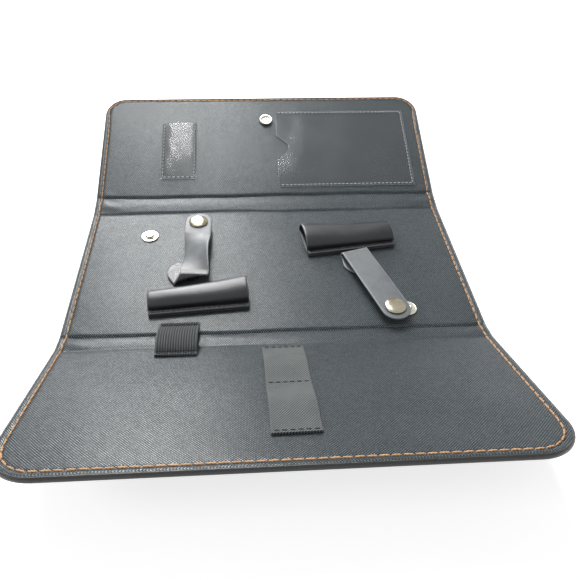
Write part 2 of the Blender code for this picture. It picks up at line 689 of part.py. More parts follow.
def build_rear(middle, mats):
    """The rear spine and panel, with the clear pockets and the closing snap's cap and socket."""
    spine_tilt = REAR_TILT * SPINE_TILT_SHARE
    spine = build_spine("rear_spine", REAR_SPINE_DEPTH, spine_tilt, 1, middle, mats)
    frame = empty("rear_frame", (0.0, REAR_SPINE_DEPTH, 0.0), tilt=REAR_TILT - spine_tilt, parent=spine)
    near = CREASE_GAP / 2
    radius = REAR_CORNER_RADIUS
    closure = place_on(CLOSURE_SHARES, REAR_DEPTH)
    cover("rear_cover", near, REAR_DEPTH, radius, 1, False, frame, mats["cover"], holes=(closure,))
    board("rear_board", near, REAR_DEPTH, radius, 1, False, frame, mats["board"], shank_holes=(closure,))
    lining("rear_lining", near, REAR_DEPTH, radius, 1, False, frame, mats["lining"], holes=(closure,))
    shank = CONTACT_GAP + STACK + CONTACT_GAP + SOCKET_PLATE_THICKNESS
    base = -STACK - CONTACT_GAP
    turned("closure_cap", cap_profile(shank), closure, base, frame, mats["snap"], down=True)
    turned("closure_socket", socket_profile(), closure, CONTACT_GAP, frame, mats["snap"])
    film_pocket(
        "key_pocket", place_on(KEY_POCKET_SHARES, REAR_DEPTH), KEY_POCKET_WIDTH, KEY_POCKET_DEPTH,
        KEY_POCKET_BULGE, False, "top", frame, mats["film"],
    )
    card_start = closure[0] + SOCKET_RADIUS + CARD_POCKET_SNAP_CLEARANCE
    card_end = HALF_WIDTH - CARD_POCKET_EDGE_MARGIN
    card_centre = ((card_start + card_end) / 2, CARD_POCKET_DEPTH_SHARE * REAR_DEPTH)
    film_pocket(
        "card_pocket", card_centre, card_end - card_start, CARD_POCKET_DEPTH,
        CARD_POCKET_BULGE, True, "left", frame, mats["film"],
    )


def build_front(middle, mats):
    """The front spine and panel, with the webbing, the closing stud and the elastic over the fold."""
    spine_tilt = FRONT_TILT * SPINE_TILT_SHARE
    spine = build_spine("front_spine", FRONT_SPINE_DEPTH, spine_tilt, -1, middle, mats)
    frame = empty("front_frame", (0.0, -FRONT_SPINE_DEPTH, 0.0), tilt=spine_tilt - FRONT_TILT, parent=spine)
    near = CREASE_GAP / 2
    radius = FRONT_CORNER_RADIUS
    closing = (CLOSURE_SHARES[0] * CASE_WIDTH, closing_reach())
    cover("front_cover", near, FRONT_DEPTH, radius, -1, False, frame, mats["cover"], holes=(closing,))
    board("front_board", near, FRONT_DEPTH, radius, -1, False, frame, mats["board"], post_holes=(closing,))
    lining("front_lining", near, FRONT_DEPTH, radius, -1, False, frame, mats["lining"])
    place = (closing[0], -closing[1])
    base = -STACK - CONTACT_GAP
    turned("closure_stud", stud_profile(), place, base, frame, mats["snap"], down=True)
    post_length = BOARD_TOP - base + STUD_HEIGHT - CONTACT_GAP
    turned("closure_stud_post", post_profile(post_length), place, BOARD_TOP, frame, mats["snap"], down=True)
    webbing_strip("webbing_strip", frame, mats["webbing"])
    elastic_loop("elastic_loop", frame, middle, mats["elastic"])


def closing_reach():
    """How far from its crease the front panel's stud lies, so that the closed rear panel's socket meets it."""
    return MIDDLE_DEPTH - CLOSURE_SHARES[1] * REAR_DEPTH


def main():
    """Builds the whole case."""
    clear_scene()
    mats = build_materials()
    middle = build_middle(mats)
    build_rear(middle, mats)
    build_front(middle, mats)


if __name__ == "__main__":
    main()
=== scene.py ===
"""Hair shears case, dressed: a three-panel folding case that stands open on a table.

Metres, +Z up. X runs along the case's width and +Y towards the rear panel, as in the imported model. Places on the
case are given as x, s and h: s runs along the lining from the middle of the middle panel towards the rear edge,
and h stands out of the lining.
"""

import logging
import math
from dataclasses import dataclass, field
from enum import Enum
from typing import Callable, Iterable, Sequence

import bpy
import numpy as np
from mathutils import Matrix, Vector


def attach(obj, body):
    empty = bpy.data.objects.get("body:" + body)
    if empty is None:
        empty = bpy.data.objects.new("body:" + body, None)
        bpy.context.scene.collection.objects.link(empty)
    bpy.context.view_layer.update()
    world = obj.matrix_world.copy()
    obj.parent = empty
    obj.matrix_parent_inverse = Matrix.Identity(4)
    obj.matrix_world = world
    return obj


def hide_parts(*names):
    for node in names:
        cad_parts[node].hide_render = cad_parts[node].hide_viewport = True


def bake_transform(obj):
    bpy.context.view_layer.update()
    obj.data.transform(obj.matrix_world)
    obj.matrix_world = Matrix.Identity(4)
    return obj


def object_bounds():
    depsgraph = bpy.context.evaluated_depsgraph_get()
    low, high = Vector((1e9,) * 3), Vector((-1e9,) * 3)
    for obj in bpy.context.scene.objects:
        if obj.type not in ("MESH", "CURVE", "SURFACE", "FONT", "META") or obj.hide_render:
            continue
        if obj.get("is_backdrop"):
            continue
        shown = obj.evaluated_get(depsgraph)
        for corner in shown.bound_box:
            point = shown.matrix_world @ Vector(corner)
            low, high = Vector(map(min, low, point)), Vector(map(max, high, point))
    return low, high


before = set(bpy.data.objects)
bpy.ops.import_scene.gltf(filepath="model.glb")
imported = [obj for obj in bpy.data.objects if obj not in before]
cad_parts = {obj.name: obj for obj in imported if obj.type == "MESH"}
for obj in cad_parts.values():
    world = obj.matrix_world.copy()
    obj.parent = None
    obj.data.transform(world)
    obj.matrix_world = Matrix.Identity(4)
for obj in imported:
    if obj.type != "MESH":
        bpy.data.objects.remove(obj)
CAD_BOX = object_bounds()
LOG = logging.getLogger("shears_case")
MM = 0.001
UP = np.array([0.0, 0.0, 1.0])

Array = np.ndarray
Tree = bpy.types.NodeTree
Node = bpy.types.Node
Socket = bpy.types.NodeSocket
Material = bpy.types.Material
Object = bpy.types.Object
Rgba = tuple[float, float, float, float]
Ports = Callable[[str], Socket]
Stretch = tuple[Array, Array]


class Face(Enum):
    """The two faces of the folded sheet that the perimeter stitches show on."""

    LINING = "lining"
    OUTSIDE = "outside"


def smoothstep(t: Array) -> Array:
    """Rises evenly from 0 to 1 with level ends."""
    t = np.clip(t, 0.0, 1.0)
    return t * t * (3 - 2 * t)


def bell(distance: Array, width: float) -> Array:
    """A soft bump of height 1 at distance 0."""
    return np.exp(-((distance / width) ** 2))


# Node trees


class Nodes:
    """Adds nodes to a shader or geometry tree, one short call for each."""

    def __init__(self, tree: Tree) -> None:
        """Keeps the tree that the nodes go into.

        Args:
            tree: the shader or geometry node tree.
        """
        self.tree = tree

    def add(self, kind: str, inputs: dict | None = None, **settings: object) -> Node:
        """Adds one node.

        Args:
            kind: the node's type.
            inputs: values or output sockets, by the input's name or number.
            settings: the node's own settings.

        Returns:
            The new node.
        """
        node = self.tree.nodes.new(kind)
        for name, value in settings.items():
            setattr(node, name, value)
        for key, value in (inputs or {}).items():
            self.feed(node.inputs[key], value)
        return node

    def feed(self, socket: Socket, value: object) -> None:
        """Links a socket to the input, or sets the input's own value."""
        if isinstance(value, Socket):
            self.tree.links.new(value, socket)
        else:
            socket.default_value = value

    def math(self, operation: str, a: object, b: object = 0.0, c: object = 0.0) -> Socket:
        """The result of a Math node on up to three values."""
        return self.add("ShaderNodeMath", {0: a, 1: b, 2: c}, operation=operation).outputs[0]

    def vector(self, operation: str, a: object, b: object = (0.0, 0.0, 0.0)) -> Socket:
        """The result of a Vector Math node on two vectors."""
        return self.add("ShaderNodeVectorMath", {0: a, 1: b}, operation=operation).outputs[0]

    def scaled(self, vector: object, factors: tuple[float, float, float]) -> Socket:
        """A vector with each of its parts multiplied by its own factor."""
        return self.vector("MULTIPLY", vector, factors)

    def mix(self, factor: object, a: object, b: object) -> Socket:
        """A colour between two others."""
        return self.add("ShaderNodeMix", {0: factor, 6: a, 7: b}, data_type="RGBA").outputs[2]

    def blend(self, factor: object, a: object, b: object) -> Socket:
        """A number between two others."""
        return self.add("ShaderNodeMix", {0: factor, 2: a, 3: b}, data_type="FLOAT").outputs[0]

    def span(
        self, value: object, low: float, high: float, to_low: float = 0.0, to_high: float = 1.0
    ) -> Socket:
        """A value's place between two limits, smoothed and held at both ends.

        Args:
            value: the value.
            low: where the rise starts.
            high: where the rise ends.
            to_low: the result at the start.
            to_high: the result at the end.

        Returns:
            The result's socket.
        """
        node = self.add("ShaderNodeMapRange", {0: value, 1: low, 2: high, 3: to_low, 4: to_high})
        node.interpolation_type = "SMOOTHSTEP"
        return node.outputs[0]

    def noise(self, vector: object, scale: float, detail: float = 3.0, rough: float = 0.55) -> Socket:
        """The value of a Noise texture."""
        inputs = {"Vector": vector, "Scale": scale, "Detail": detail, "Roughness": rough}
        return self.add("ShaderNodeTexNoise", inputs).outputs[0]


def grey(value: float, tint: tuple[float, float, float] = (1.0, 1.0, 1.0)) -> Rgba:
    """A colour of the given level with a tint."""
    return (value * tint[0], value * tint[1], value * tint[2], 1.0)


@dataclass(frozen=True)
class Port:
    """One named socket of a node group, with its starting value."""

    name: str
    kind: str = "NodeSocketFloat"
    start: object = 0.0


def shader_group(
    name: str, ports_in: Sequence[Port], ports_out: Sequence[Port], fill: Callable[[Nodes, Ports], dict]
) -> Tree:
    """Builds a shader node group once and keeps it for all materials.

    Args:
        name: the group's name.
        ports_in: its inputs.
        ports_out: its outputs.
        fill: makes the nodes inside, and returns the socket for each output's name.

    Returns:
        The node group.
    """
    if name in bpy.data.node_groups:
        return bpy.data.node_groups[name]
    tree = bpy.data.node_groups.new(name, "ShaderNodeTree")
    for port in ports_in:
        socket = tree.interface.new_socket(port.name, in_out="INPUT", socket_type=port.kind)
        if port.kind != "NodeSocketVector" or port.start:
            socket.default_value = port.start
    for port in ports_out:
        tree.interface.new_socket(port.name, in_out="OUTPUT", socket_type=port.kind)
    nodes = Nodes(tree)
    entry = nodes.add("NodeGroupInput")
    leave = nodes.add("NodeGroupOutput")
    for key, socket in fill(nodes, lambda port: entry.outputs[port]).items():
        tree.links.new(socket, leave.inputs[key])
    return tree


def weave_group() -> Tree:
    """Plain weave: two crossed sets of round threads that pass over and under each other."""

    def fill(n: Nodes, port: Ports) -> dict:
        parts = n.add("ShaderNodeSeparateXYZ", {0: port("Vector")})
        warp = n.math("DIVIDE", parts.outputs[0], port("Pitch"))
        weft = n.math("DIVIDE", parts.outputs[1], port("Pitch"))
        order = n.math("ADD", n.math("FLOOR", warp), n.math("FLOOR", weft))
        over = n.math("MODULO", n.math("ABSOLUTE", order), 2.0)
        across_warp = n.math("SINE", n.math("MULTIPLY", n.math("FRACT", warp), math.pi))
        across_weft = n.math("SINE", n.math("MULTIPLY", n.math("FRACT", weft), math.pi))
        warp_high = n.math("MULTIPLY", across_warp, n.math("POWER", across_weft, 0.5))
        weft_high = n.math("MULTIPLY", across_weft, n.math("POWER", across_warp, 0.5))
        height = n.blend(over, warp_high, weft_high)
        cell = n.add("ShaderNodeCombineXYZ", {0: n.math("FLOOR", warp), 1: n.math("FLOOR", weft)})
        spot = n.add("ShaderNodeTexWhiteNoise", {"Vector": cell.outputs[0]}, noise_dimensions="2D")
        return {"Height": height, "Over": over, "Random": spot.outputs[0]}

    return shader_group(
        "plain_weave",
        (Port("Vector", "NodeSocketVector"), Port("Pitch", start=0.68 * MM)),
        (Port("Height"), Port("Over"), Port("Random")),
        fill,
    )


def grain_group() -> Tree:
    """Leather grain: small rounded cells parted by creases, over a slower swell."""

    def fill(n: Nodes, port: Ports) -> dict:
        warped = n.add("ShaderNodeTexNoise", {"Vector": port("Vector"), "Scale": 260.0, "Detail": 2.0})
        offset = n.add("ShaderNodeVectorMath", {0: warped.outputs[1], "Scale": 0.0012}, operation="SCALE")
        place = n.vector("ADD", port("Vector"), offset.outputs[0])
        cells = n.add("ShaderNodeTexVoronoi", {"Vector": place, "Scale": port("Scale")}, feature="DISTANCE_TO_EDGE")
        pebble = n.span(cells.outputs[0], 0.0, 0.35)
        swell = n.noise(port("Vector"), 90.0)
        fine = n.noise(port("Vector"), 2400.0, 2.0)
        soft = n.math("MULTIPLY_ADD", swell, 0.35, n.math("MULTIPLY", fine, 0.22))
        height = n.math("MULTIPLY_ADD", pebble, 0.55, soft)
        return {"Height": height, "Pores": n.math("SUBTRACT", 1.0, pebble)}

    return shader_group(
        "leather_grain",
        (Port("Vector", "NodeSocketVector"), Port("Scale", start=900.0)),
        (Port("Height"), Port("Pores")),
        fill,
    )


def mottle_group() -> Tree:
    """Slow and quick changes of tone, as handling leaves them, and sparse light specks of lint."""

    def fill(n: Nodes, port: Ports) -> dict:
        slow = n.noise(port("Vector"), 26.0, 3.0)
        quick = n.noise(port("Vector"), 210.0, 4.0, 0.65)
        tone = n.math("MULTIPLY_ADD", slow, 0.65, n.math("MULTIPLY", quick, 0.35))
        dots = n.add("ShaderNodeTexVoronoi", {"Vector": port("Vector"), "Scale": 330.0})
        chosen = n.math("GREATER_THAN", n.noise(port("Vector"), 61.0, 1.0), 0.62)
        lint = n.math("MULTIPLY", n.span(dots.outputs[0], 0.11, 0.04), chosen)
        return {"Tone": n.span(tone, 0.3, 0.7), "Lint": lint}

    return shader_group(
        "handling_mottle", (Port("Vector", "NodeSocketVector"),), (Port("Tone"), Port("Lint")), fill
    )


def edge_group() -> Tree:
    """A worn band along a piece's edges, broken up by noise, from the distance kept on each point."""

    def fill(n: Nodes, port: Ports) -> dict:
        breaks = n.noise(port("Vector"), 420.0, 3.0, 0.7)
        reach = n.math("MULTIPLY", port("Reach"), n.math("MULTIPLY_ADD", breaks, 1.4, 0.35))
        share = n.math("DIVIDE", port("Distance"), reach)
        return {"Wear": n.span(share, 1.0, 0.25)}

    return shader_group(
        "edge_wear",
        (Port("Vector", "NodeSocketVector"), Port("Distance"), Port("Reach", start=MM)),
        (Port("Wear"),),
        fill,
    )


# Finishes


@dataclass(frozen=True)
class Finish:
    """A finish with its name and the record's material slot that it belongs to."""

    name: str = "finish"
    slot: str = ""

    def start(self) -> tuple[Material, Nodes, Node]:
        """Makes the material and hands out its nodes.

        Returns:
            The material, its node helper and its Principled shader.
        """
        material = bpy.data.materials.new(self.name)
        material.use_nodes = True
        return material, Nodes(material.node_tree), material.node_tree.nodes["Principled BSDF"]

    def coordinates(self, n: Nodes) -> Socket:
        """The Object coordinates, which are metres in the case's own frame."""
        return n.add("ShaderNodeTexCoord").outputs["Object"]

    def surface(self, n: Nodes) -> Socket:
        """The piece's UV map, which holds real lengths along its surface."""
        return n.add("ShaderNodeTexCoord").outputs["UV"]

    def edge(self, n: Nodes, vector: Socket, reach: float) -> Socket:
        """The worn band along the piece's edges.

        Args:
            n: the material's node helper.
            vector: the coordinates that break the band up.
            reach: how far the band comes in from the edge.

        Returns:
            The band's mask.
        """
        distance = n.add("ShaderNodeAttribute", attribute_name="edge").outputs["Fac"]
        return self.group(n, edge_group(), Vector=vector, Distance=distance, Reach=reach).outputs["Wear"]

    def group(self, n: Nodes, tree: Tree, **inputs: object) -> Node:
        """Places a shared effect with this finish's own values.

        Args:
            n: the material's node helper.
            tree: the shared effect.
            inputs: its inputs, by name.

        Returns:
            The group's node.
        """
        node = n.add("ShaderNodeGroup", node_tree=tree)
        for key, value in inputs.items():
            n.feed(node.inputs[key], value)
        return node

    def bump(self, n: Nodes, shader: Node, height: Socket, depth: float) -> None:
        """Feeds a relief to the shader.

        Args:
            n: the material's node helper.
            shader: the Principled shader.
            height: the relief, from 0 to 1.
            depth: its real depth.
        """
        node = n.add("ShaderNodeBump", {"Height": height, "Distance": depth, "Strength": 1.0})
        n.feed(shader.inputs["Normal"], node.outputs[0])

    def build(self) -> Material:
        """Makes the material.

        Returns:
            The material.
        """
        raise NotImplementedError


@dataclass(frozen=True)
class LiningCloth(Finish):
    """Dark grey satin cloth in plain weave."""

    name: str = "woven_lining"
    slot: str = "woven_lining"
    pitch: float = 0.68 * MM
    depth: float = 0.28 * MM
    dark: Rgba = (0.002, 0.003, 0.004, 1.0)
    light: Rgba = (0.098, 0.122, 0.138, 1.0)
    lint: Rgba = (0.42, 0.40, 0.38, 1.0)
    lint_share: float = 0.35
    painted_sheen_share: float = 0.78
    random_share: float = 0.16
    mottle_share: float = 0.18
    glint_rough: float = 0.32
    glint_ior: float = 1.9
    tint: Rgba = (0.72, 0.92, 1.0, 1.0)

    def build(self) -> Material:
        """Makes the cloth: crossed threads with painted sheen on those that lie on top and painted shade between them,
        over random tone, mottle and lint.

        Returns:
            The material.
        """
        material, n, shader = self.start()
        weave = self.group(n, weave_group(), Vector=self.surface(n), Pitch=self.pitch)
        mottle = self.group(n, mottle_group(), Vector=self.coordinates(n))
        tone = n.math("MULTIPLY", weave.outputs["Random"], self.random_share)
        # Painted sheen: the threads that lie on top get a lighter colour, which stands in for the satin's highlight.
        tone = n.math("MULTIPLY_ADD", weave.outputs["Over"], self.painted_sheen_share, tone)
        tone = n.math("MULTIPLY_ADD", mottle.outputs["Tone"], self.mottle_share, tone)
        # Painted shade: the colour darkens down each thread's sides and into the gaps between threads.
        colour = n.mix(n.math("MULTIPLY", tone, weave.outputs["Height"]), self.dark, self.light)
        colour = n.mix(n.math("MULTIPLY", mottle.outputs["Lint"], self.lint_share), colour, self.lint)
        n.feed(shader.inputs["Base Color"], colour)
        glint = n.math("MULTIPLY_ADD", weave.outputs["Random"], 0.6, 0.4)
        glint = n.math("MULTIPLY", weave.outputs["Over"], glint)
        glint = n.math("MULTIPLY", glint, n.span(weave.outputs["Height"], 0.05, 0.6))
        n.feed(shader.inputs["Coat Weight"], glint)
        shader.inputs["Coat Roughness"].default_value = self.glint_rough
        shader.inputs["Coat IOR"].default_value = self.glint_ior
        n.feed(shader.inputs["Roughness"], n.span(mottle.outputs["Tone"], 0.0, 1.0, 0.52, 0.44))
        shader.inputs["Specular IOR Level"].default_value = 0.35
        shader.inputs["Specular Tint"].default_value = self.tint
        self.bump(n, shader, weave.outputs["Height"], self.depth)
        return material


@dataclass(frozen=True)
class Leathercloth(Finish):
    """Black coated cloth with a fine pressed grain."""

    name: str = "cover_leathercloth"
    slot: str = "cover_leathercloth"
    depth: float = 0.10 * MM

    def build(self) -> Material:
        """Makes the coated cloth, rubbed to grey where it turns round the edge.

        Returns:
            The material.
        """
        material, n, shader = self.start()
        place = self.coordinates(n)
        grain = self.group(n, grain_group(), Vector=place, Scale=1100.0)
        mottle = self.group(n, mottle_group(), Vector=place)
        wear = self.edge(n, place, 1.2 * MM)
        colour = n.mix(mottle.outputs["Tone"], grey(0.006), grey(0.014, (0.96, 0.98, 1.0)))
        colour = n.mix(n.math("MULTIPLY", wear, 0.20), colour, grey(0.070))
        n.feed(shader.inputs["Base Color"], colour)
        n.feed(shader.inputs["Roughness"], n.span(mottle.outputs["Tone"], 0.0, 1.0, 0.26, 0.38))
        self.bump(n, shader, grain.outputs["Height"], self.depth)
        return material


@dataclass(frozen=True)
class SmoothLeather(Finish):
    """Finished leather: a smooth face with fine grain, creases and rubbed edges."""

    name: str = "leather"
    dark: Rgba = (0.020, 0.021, 0.026, 1.0)
    light: Rgba = (0.045, 0.047, 0.055, 1.0)
    worn: Rgba = (0.16, 0.165, 0.17, 1.0)
    rough: tuple[float, float] = (0.28, 0.42)
    depth: float = 0.10 * MM
    scale: float = 1000.0
    band: float = 0.9 * MM
    wear_share: float = 0.7

    def build(self) -> Material:
        """Makes the leather.

        Returns:
            The material.
        """
        material, n, shader = self.start()
        place = self.coordinates(n)
        grain = self.group(n, grain_group(), Vector=place, Scale=self.scale)
        mottle = self.group(n, mottle_group(), Vector=place)
        wear = self.edge(n, place, self.band)
        colour = n.mix(mottle.outputs["Tone"], self.dark, self.light)
        colour = n.mix(n.math("MULTIPLY", grain.outputs["Pores"], 0.35), colour, self.dark)
        colour = n.mix(n.math("MULTIPLY", wear, self.wear_share), colour, self.worn)
        n.feed(shader.inputs["Base Color"], colour)
        n.feed(shader.inputs["Roughness"], n.span(mottle.outputs["Tone"], 0.0, 1.0, self.rough[0], self.rough[1]))
        self.bump(n, shader, grain.outputs["Height"], self.depth)
        return material


@dataclass(frozen=True)
class Nickel(Finish):
    """Polished nickel with fine scratches and a warm tarnish."""

    name: str = "snap_nickel"
    slot: str = "snap_nickel"
    clean: Rgba = (0.62, 0.61, 0.54, 1.0)
    tarnished: Rgba = (0.40, 0.37, 0.29, 1.0)

    def build(self) -> Material:
        """Makes the metal.

        Returns:
            The material.
        """
        material, n, shader = self.start()
        place = self.coordinates(n)
        mottle = self.group(n, mottle_group(), Vector=place)
        tarnish = n.span(n.noise(place, 130.0, 2.0), 0.35, 0.75)
        colour = n.mix(tarnish, self.clean, self.tarnished)
        n.feed(shader.inputs["Base Color"], colour)
        shader.inputs["Metallic"].default_value = 1.0
        n.feed(shader.inputs["Roughness"], n.span(mottle.outputs["Tone"], 0.0, 1.0, 0.12, 0.26))
        scratches = n.noise(n.scaled(place, (1.0, 14.0, 14.0)), 900.0, 2.0)
        self.bump(n, shader, scratches, 0.012 * MM)
        return material


@dataclass(frozen=True)
class Film(Finish):
    """Clear soft film, a little hazy and rippled."""

    name: str = "clear_film"
    slot: str = "clear_film"
    haze: Rgba = (0.10, 0.11, 0.12, 1.0)
    rim: Rgba = (0.24, 0.26, 0.28, 1.0)
    rim_reach: float = 0.9 * MM
    haze_alpha: float = 0.22
    rim_alpha: float = 0.45
    ior: float = 1.7
    ripple_depth: float = 0.9 * MM

    def build(self) -> Material:
        """Makes the film: nearly see-through, with clear reflections.

        Returns:
            The material.
        """
        material, n, shader = self.start()
        place = self.coordinates(n)
        mottle = self.group(n, mottle_group(), Vector=place)
        edge = self.edge(n, place, self.rim_reach)
        n.feed(shader.inputs["Base Color"], n.mix(edge, self.haze, self.rim))
        n.feed(shader.inputs["Roughness"], n.span(mottle.outputs["Tone"], 0.0, 1.0, 0.14, 0.26))
        n.feed(shader.inputs["Alpha"], n.blend(edge, self.haze_alpha, self.rim_alpha))
        shader.inputs["IOR"].default_value = self.ior
        ripples = n.noise(n.scaled(place, (1.0, 0.6, 1.0)), 38.0, 0.5)
        self.bump(n, shader, ripples, self.ripple_depth)
        return material


@dataclass(frozen=True)
class Band(Finish):
    """A woven band: ribs along or across it, and firm selvedges."""

    name: str = "band"
    rib: float = 1.4 * MM
    slant: float = 0.0
    dark: Rgba = (0.012, 0.014, 0.016, 1.0)
    light: Rgba = (0.070, 0.078, 0.086, 1.0)
    selvedge: Rgba = (0.12, 0.13, 0.14, 1.0)
    depth: float = 0.25 * MM

    def build(self) -> Material:
        """Makes the band's weave on its own UV map, with painted shade in the grooves and painted highlight on the
        crests of the ribs.

        Returns:
            The material.
        """
        material, n, shader = self.start()
        parts = n.add("ShaderNodeSeparateXYZ", {0: self.surface(n)})
        ahead = n.math("MULTIPLY_ADD", parts.outputs[1], self.slant, parts.outputs[0])
        rib = n.math("ABSOLUTE", n.math("SINE", n.math("MULTIPLY", ahead, math.pi / self.rib)))
        beads = n.math("ABSOLUTE", n.math("SINE", n.math("MULTIPLY", parts.outputs[1], math.pi / (0.45 * self.rib))))
        height = n.math("MULTIPLY_ADD", rib, 0.7, n.math("MULTIPLY", beads, 0.3))
        mottle = self.group(n, mottle_group(), Vector=self.coordinates(n))
        # Painted shade and highlight: the colour is near black in the grooves and light on the crests of the ribs and
        # beads.
        painted_rib_light = n.math("MULTIPLY", n.math("POWER", height, 2.0), n.math("MULTIPLY_ADD", mottle.outputs["Tone"], 0.4, 0.8))
        colour = n.mix(painted_rib_light, self.dark, self.light)
        colour = n.mix(self.edge(n, self.coordinates(n), 0.9 * MM), colour, self.selvedge)
        n.feed(shader.inputs["Base Color"], colour)
        n.feed(shader.inputs["Roughness"], n.span(rib, 0.0, 1.0, 0.85, 0.6))
        self.bump(n, shader, height, self.depth)
        return material


@dataclass(frozen=True)
class Thread(Finish):
    """Sewing thread: plies of fine fibres."""

    name: str = "thread"
    dark: Rgba = (0.36, 0.17, 0.07, 1.0)
    light: Rgba = (0.86, 0.55, 0.30, 1.0)

    def build(self) -> Material:
        """Makes the thread, with fibres and uneven dye.

        Returns:
            The material.
        """
        material, n, shader = self.start()
        place = self.coordinates(n)
        fibres = n.noise(place, 3800.0, 2.0)
        dye = n.noise(place, 240.0, 2.0)
        colour = n.mix(n.math("MULTIPLY_ADD", fibres, 0.5, n.math("MULTIPLY", dye, 0.5)), self.dark, self.light)
        n.feed(shader.inputs["Base Color"], colour)
        n.feed(shader.inputs["Roughness"], n.span(fibres, 0.3, 0.7, 0.45, 0.75))
        self.bump(n, shader, fibres, 0.04 * MM)
        return material


@dataclass(frozen=True)
class Fibreboard(Finish):
    """Bare grey-brown board, only seen with the case cut open."""

    name: str = "stiffener_board"
    slot: str = "stiffener_board"

    def build(self) -> Material:
        """Makes the board, with flecks of fibre.

        Returns:
            The material.
        """
        material, n, shader = self.start()
        place = self.coordinates(n)
        flecks = n.noise(n.scaled(place, (1.0, 3.0, 1.0)), 700.0, 4.0)
        n.feed(shader.inputs["Base Color"], n.mix(flecks, (0.30, 0.26, 0.20, 1.0), (0.56, 0.51, 0.43, 1.0)))
        n.feed(shader.inputs["Roughness"], n.span(flecks, 0.3, 0.7, 0.85, 0.95))
        self.bump(n, shader, flecks, 0.05 * MM)
        return material


def made(finish: Finish) -> Material:
    """A field that makes a finish's material when the finishes are set up."""
    return field(default_factory=finish.build)


@dataclass
class Finishes:
    """Every finish of the case, made once."""

    lining: Material = made(LiningCloth())
    cover: Material = made(Leathercloth())
    sheath: Material = made(
        SmoothLeather(
            "sheath_leather", "sheath_leather", dark=(0.008, 0.009, 0.012, 1.0), light=(0.022, 0.024, 0.029, 1.0),
            worn=(0.13, 0.135, 0.14, 1.0), rough=(0.32, 0.42), depth=0.05 * MM,
        )
    )
    strap: Material = made(
        SmoothLeather(
            "strap_leather", "strap_leather", dark=(0.085, 0.093, 0.100, 1.0), light=(0.165, 0.178, 0.188, 1.0),
            worn=(0.34, 0.35, 0.36, 1.0), rough=(0.36, 0.50), depth=0.05 * MM, scale=1500.0,
        )
    )
    # A darker copy of the strap leather: painted shade for the left strap's fold and its underside.
    tab: Material = made(
        SmoothLeather(
            "strap_leather_painted_shade", "strap_leather", dark=(0.016, 0.014, 0.020, 1.0), light=(0.050, 0.046, 0.058, 1.0),
            worn=(0.30, 0.30, 0.32, 1.0), rough=(0.24, 0.40),
        )
    )
    nickel: Material = made(Nickel())
    cap: Material = made(
        Nickel("cap_nickel", "snap_nickel", clean=(0.36, 0.33, 0.25, 1.0), tarnished=(0.21, 0.17, 0.11, 1.0))
    )
    film: Material = made(Film())
    elastic: Material = made(
        Band(
            "ribbed_elastic", "ribbed_elastic", dark=(0.002, 0.003, 0.004, 1.0), light=(0.036, 0.043, 0.047, 1.0),
            depth=0.4 * MM,
        )
    )
    webbing: Material = made(
        Band(
            "webbing", "webbing", rib=1.3 * MM, slant=0.9, dark=(0.002, 0.003, 0.003, 1.0),
            light=(0.22, 0.24, 0.235, 1.0), depth=0.45 * MM,
        )
    )
    tan_thread: Material = made(Thread("tan_thread"))
    pale_thread: Material = made(Thread("pale_thread", dark=(0.40, 0.42, 0.43, 1.0), light=(0.85, 0.87, 0.88, 1.0)))
    dark_thread: Material = made(Thread("dark_thread", dark=(0.010, 0.010, 0.012, 1.0), light=(0.05, 0.05, 0.055, 1.0)))
    board: Material = made(Fibreboard())


# The folded line of the case


